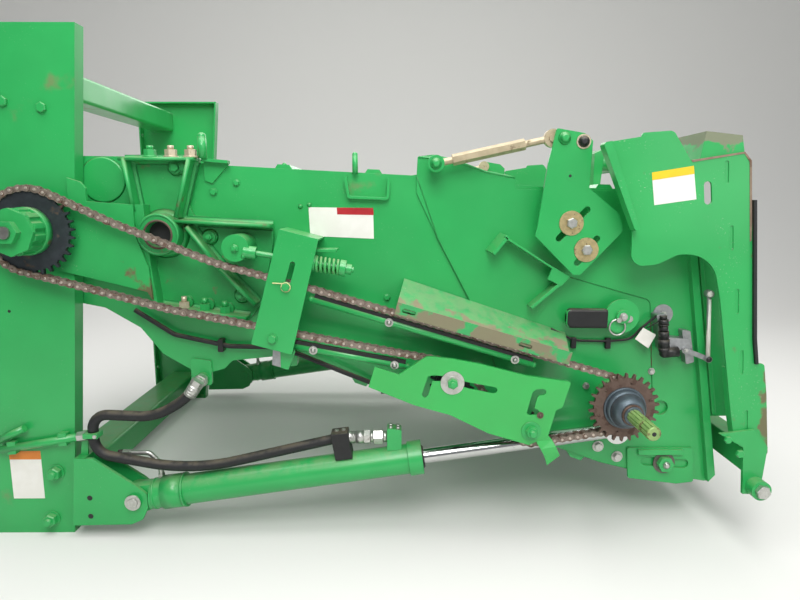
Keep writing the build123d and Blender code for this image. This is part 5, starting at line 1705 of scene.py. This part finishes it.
@dataclass
class FaceTrim:
    """Rubber strips, blank plates and worn edges of the face frame."""

    strip: tuple[Point2, ...] = (
        (2212, 94), (2221, 94), (2262, -340), (2275, -422), (2266, -422), (2252, -340))
    leg_flange: tuple[Point2, ...] = (
        (2182, -440), (2205, -578), (2228, -684), (2234, -682), (2211, -577), (2188, -438))
    worn_top: tuple[Point2, ...] = ((2016, 213), (2176, 238), (2180, 233), (2020, 207))
    worn_front: tuple[Point2, ...] = (
        (2178, 236), (2199, 212), (2217, 27), (2221, -30), (2216, -33), (2210, 27), (2193, 208), (2175, 232))
    plate_white: tuple[Point2, ...] = ((1898, 176), (2024, 196), (2040, 96), (1912, 78))
    plate_yellow: tuple[Point2, ...] = ((1898, 176), (2024, 196), (2028, 172), (1901, 153))
    label_thick: float = 0.8

    def build(self) -> None:
        """Build the trim on both face side plates."""
        draft = Draft("face_trim")
        for side in Side:
            draft.plate(self.strip, 800.5, 18, RUBBER, side)
            draft.plate(self.leg_flange, 772, 30, PAINT, side)
            draft.plate(self.worn_top, 800, 10, RUST, side)
            draft.plate(self.worn_front, 800, 9.5, RUST, side)
            draft.plate(self.plate_white, FACE_PLATE_FACE, self.label_thick, LABEL, side, 0.3)
            draft.plate(self.plate_yellow, FACE_PLATE_FACE + self.label_thick, 0.5, LABEL_YELLOW, side)
        draft.finish("face_frame", "green_paint")


@dataclass
class PostTrim:
    """Pipes, clamps and the blank plate on the right post."""

    plane: float = 762.0
    pipes: tuple[tuple[Point2, Point2, float], ...] = (
        ((-194, -725), (96, -675), 13), ((-190, -690), (-104, -649), 12))
    pipe_nut: tuple[Point2, Point2] = ((70, -679.5), (100, -674.5))
    clamps: tuple[Point2, ...] = ((-150, -717), (20, -688))
    plate_white: tuple[Point2, ...] = ((-175, -735), (-70, -735), (-70, -905), (-175, -905))
    plate_orange: tuple[Point2, ...] = ((-175, -735), (-70, -735), (-70, -765), (-175, -765))
    label_thick: float = 0.8

    def build(self) -> None:
        """Build the trim of the post."""
        draft = Draft("post_trim")
        for start, end, radius in self.pipes:
            draft.rod(spot(*start, self.plane), spot(*end, self.plane), radius, PAINT, 24)
        start, end = self.pipe_nut
        draft.rod(spot(*start, self.plane), spot(*end, self.plane), 17, ZINC, 6)
        for x, z in self.clamps:
            clamp = [(x - 14, z - 22), (x + 14, z - 20), (x + 14, z + 24), (x - 14, z + 22)]
            draft.plate(clamp, POST_FACE, 26, PAINT, bevel=2)
        draft.plate(self.plate_white, POST_FACE, self.label_thick, LABEL, bevel=0.3)
        draft.plate(self.plate_orange, POST_FACE + self.label_thick, 0.5, LABEL_ORANGE)
        draft.finish("front_frame", "green_paint")


@dataclass
class CadFinishes:
    """Which finish each CAD node takes."""

    special: dict[str, Finish] = field(default_factory=lambda: {
        "casting_right": CAST_PAINT,
        "casting_left": CAST_PAINT,
        "pivot_arm_right": ARM_PAINT,
        "pivot_arm_left": ARM_PAINT,
        "pivot_seat_right": WORN_STEEL,
        "pivot_seat_left": WORN_STEEL,
        "header_bearing_right": CAST_PAINT,
        "header_bearing_left": CAST_PAINT,
        "rear_sprocket": SPROCKET,
        "front_sprocket": RUSTY_DISC,
        "idlers": SPROCKET,
        "upper_shaft": SHAFT,
        "upper_shield": SHIELD_PAINT,
        "face_side_right": FACE_PAINT,
        "face_side_left": FACE_PAINT,
        "conveyor": WORN_STEEL,
        "front_drum": WORN_STEEL,
        "face_top_beam": TOP_BEAM,
        "tie_rods": PALE_ROD,
        "sensor": ALUMINIUM_AND_PAINTED_REFLECTION,
        "slip_clutch": CAST_PAINT,
        "lift_rod_right": CHROME,
        "lift_rod_left": CHROME,
    })

    def apply(self) -> None:
        """Give every CAD node its material."""
        for name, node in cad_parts.items():
            node.data.materials.clear()
            node.data.materials.append(Paintbox.get(self.special.get(name, PAINT)))


@dataclass
class Studio:
    """Floor, backdrop, light and camera."""

    floor_z: float = -0.83
    floor_colour: str = "d4d3cf"
    backdrop_colour: str = "f2f2f0"
    world_colour: str = "e6e9ec"
    backdrop_lift: float = 0.09
    world_light: float = 0.36
    world_seen: float = 0.19
    eye: Vector = field(default_factory=lambda: Vector((1.3793, -2.6628, 0.2848)))
    lens: float = 27.05
    pitch: float = -9.168
    yaw: float = 0.47
    aim: Vector = field(default_factory=lambda: Vector((1.3, 0, 0)))
    lamps: tuple[tuple[str, Point3, float, float], ...] = (
        ("key", (1.4, -4.2, 3.4), 2.6, 192.0),
        ("top", (1.2, -0.4, 4.2), 4.6, 245.0),
        ("fill", (4.6, -3.4, 1.4), 3.0, 45.0),
        ("back", (1.4, 4.2, 2.6), 3.0, 70.0),
    )
    sweep_front: float = -60.0
    sweep_ends: Point2 = (-60.0, 64.0)
    sweep_bend: float = 3.0
    sweep_top: float = 16.0

    def build(self) -> None:
        """Build the studio."""
        self.surfaces()
        self.lights()
        self.camera()

    def surfaces(self) -> None:
        """Floor and backdrop as one curved sheet."""
        draft = bmesh.new()
        bend = self.sweep_bend
        turns = [math.radians(9 * k) for k in range(1, 11)]
        profile = [(self.sweep_front, 0.0), (bend, 0.0)]
        profile += [(bend + bend * math.sin(turn), bend - bend * math.cos(turn)) for turn in turns]
        profile += [(2 * bend, self.sweep_top)]
        rows = [[draft.verts.new((x, y, self.floor_z + z)) for y, z in profile] for x in self.sweep_ends]
        for k in range(len(profile) - 1):
            face = draft.faces.new((rows[0][k], rows[1][k], rows[1][k + 1], rows[0][k + 1]))
            face.smooth = True
        data = bpy.data.meshes.new("studio_sweep")
        draft.to_mesh(data)
        draft.free()
        sweep = bpy.data.objects.new("studio_sweep", data)
        bpy.context.scene.collection.objects.link(sweep)
        material = bpy.data.materials.new("studio_pale")
        material.use_nodes = True
        shader = material.node_tree.nodes["Principled BSDF"]
        shader.inputs["Base Color"].default_value = linear(self.floor_colour)
        shader.inputs["Roughness"].default_value = 0.9
        shader.inputs["Emission Color"].default_value = linear(self.backdrop_colour)
        rays = material.node_tree.nodes.new("ShaderNodeLightPath")
        lift = material.node_tree.nodes.new("ShaderNodeMath")
        lift.operation = "MULTIPLY"
        lift.inputs[1].default_value = self.backdrop_lift
        material.node_tree.links.new(rays.outputs["Is Camera Ray"], lift.inputs[0])
        material.node_tree.links.new(lift.outputs["Value"], shader.inputs["Emission Strength"])
        data.materials.append(material)

    def lights(self) -> None:
        """Soft key, fill and top light and a pale world."""
        for name, place, size, power in self.lamps:
            data = bpy.data.lights.new(name, "AREA")
            data.size = size
            data.energy = power
            lamp = bpy.data.objects.new(name, data)
            lamp.location = place
            lamp.rotation_euler = (self.aim - Vector(place)).to_track_quat("-Z", "Y").to_euler()
            bpy.context.scene.collection.objects.link(lamp)
        world = bpy.data.worlds.new("studio_world")
        world.use_nodes = True
        tree = world.node_tree
        background = tree.nodes["Background"]
        background.inputs["Color"].default_value = linear(self.world_colour)
        rays = tree.nodes.new("ShaderNodeLightPath")
        seen = tree.nodes.new("ShaderNodeMath")
        seen.operation = "MULTIPLY_ADD"
        seen.inputs[1].default_value = self.world_seen - self.world_light
        seen.inputs[2].default_value = self.world_light
        tree.links.new(rays.outputs["Is Camera Ray"], seen.inputs[0])
        tree.links.new(seen.outputs["Value"], background.inputs["Strength"])
        bpy.context.scene.world = world

    def camera(self) -> None:
        """Camera where the photograph was taken from."""
        data = bpy.data.cameras.new("photo_view")
        data.lens = self.lens
        data.sensor_width = 36.0
        data.clip_start = 0.05
        data.clip_end = 200.0
        made = bpy.data.objects.new("photo_view", data)
        made.location = self.eye
        made.rotation_euler = (math.radians(90 + self.pitch), 0.0, math.radians(-self.yaw))
        bpy.context.scene.collection.objects.link(made)
        bpy.context.scene.camera = made
        bpy.context.scene.view_settings.view_transform = "Standard"


def main() -> None:
    """Dress the model and set the studio."""
    logging.basicConfig(level=logging.INFO)
    random.seed(7)
    CadFinishes().apply()
    DriveChain().build()
    HeaderShaft().build()
    Fasteners("feeder", "feeder_fasteners", FEEDER_BOTH, FEEDER_RIGHT).build()
    Fasteners("front_frame", "frame_fasteners", POST_BOTH).build()
    Fasteners("face_frame", "face_fasteners", FACE_BOTH).build()
    rod_end = Draft("rod_fasteners_left")
    ROD_BOLT.add_to(rod_end, Side.LEFT)
    rod_end.finish("rod_left", "shaft_steel")
    Hoses().build()
    Cylinders().build()
    Tensioner().build()
    ClutchRing().build()
    CastRounding().build()
    GuideBars().build()
    StrandGuard().build()
    BentBrackets().build()
    Harness().build()
    SideTrim().build()
    LockAndSensor().build()
    FaceTrim().build()
    PostTrim().build()
    Studio().build()


if __name__ == "__main__":
    main()
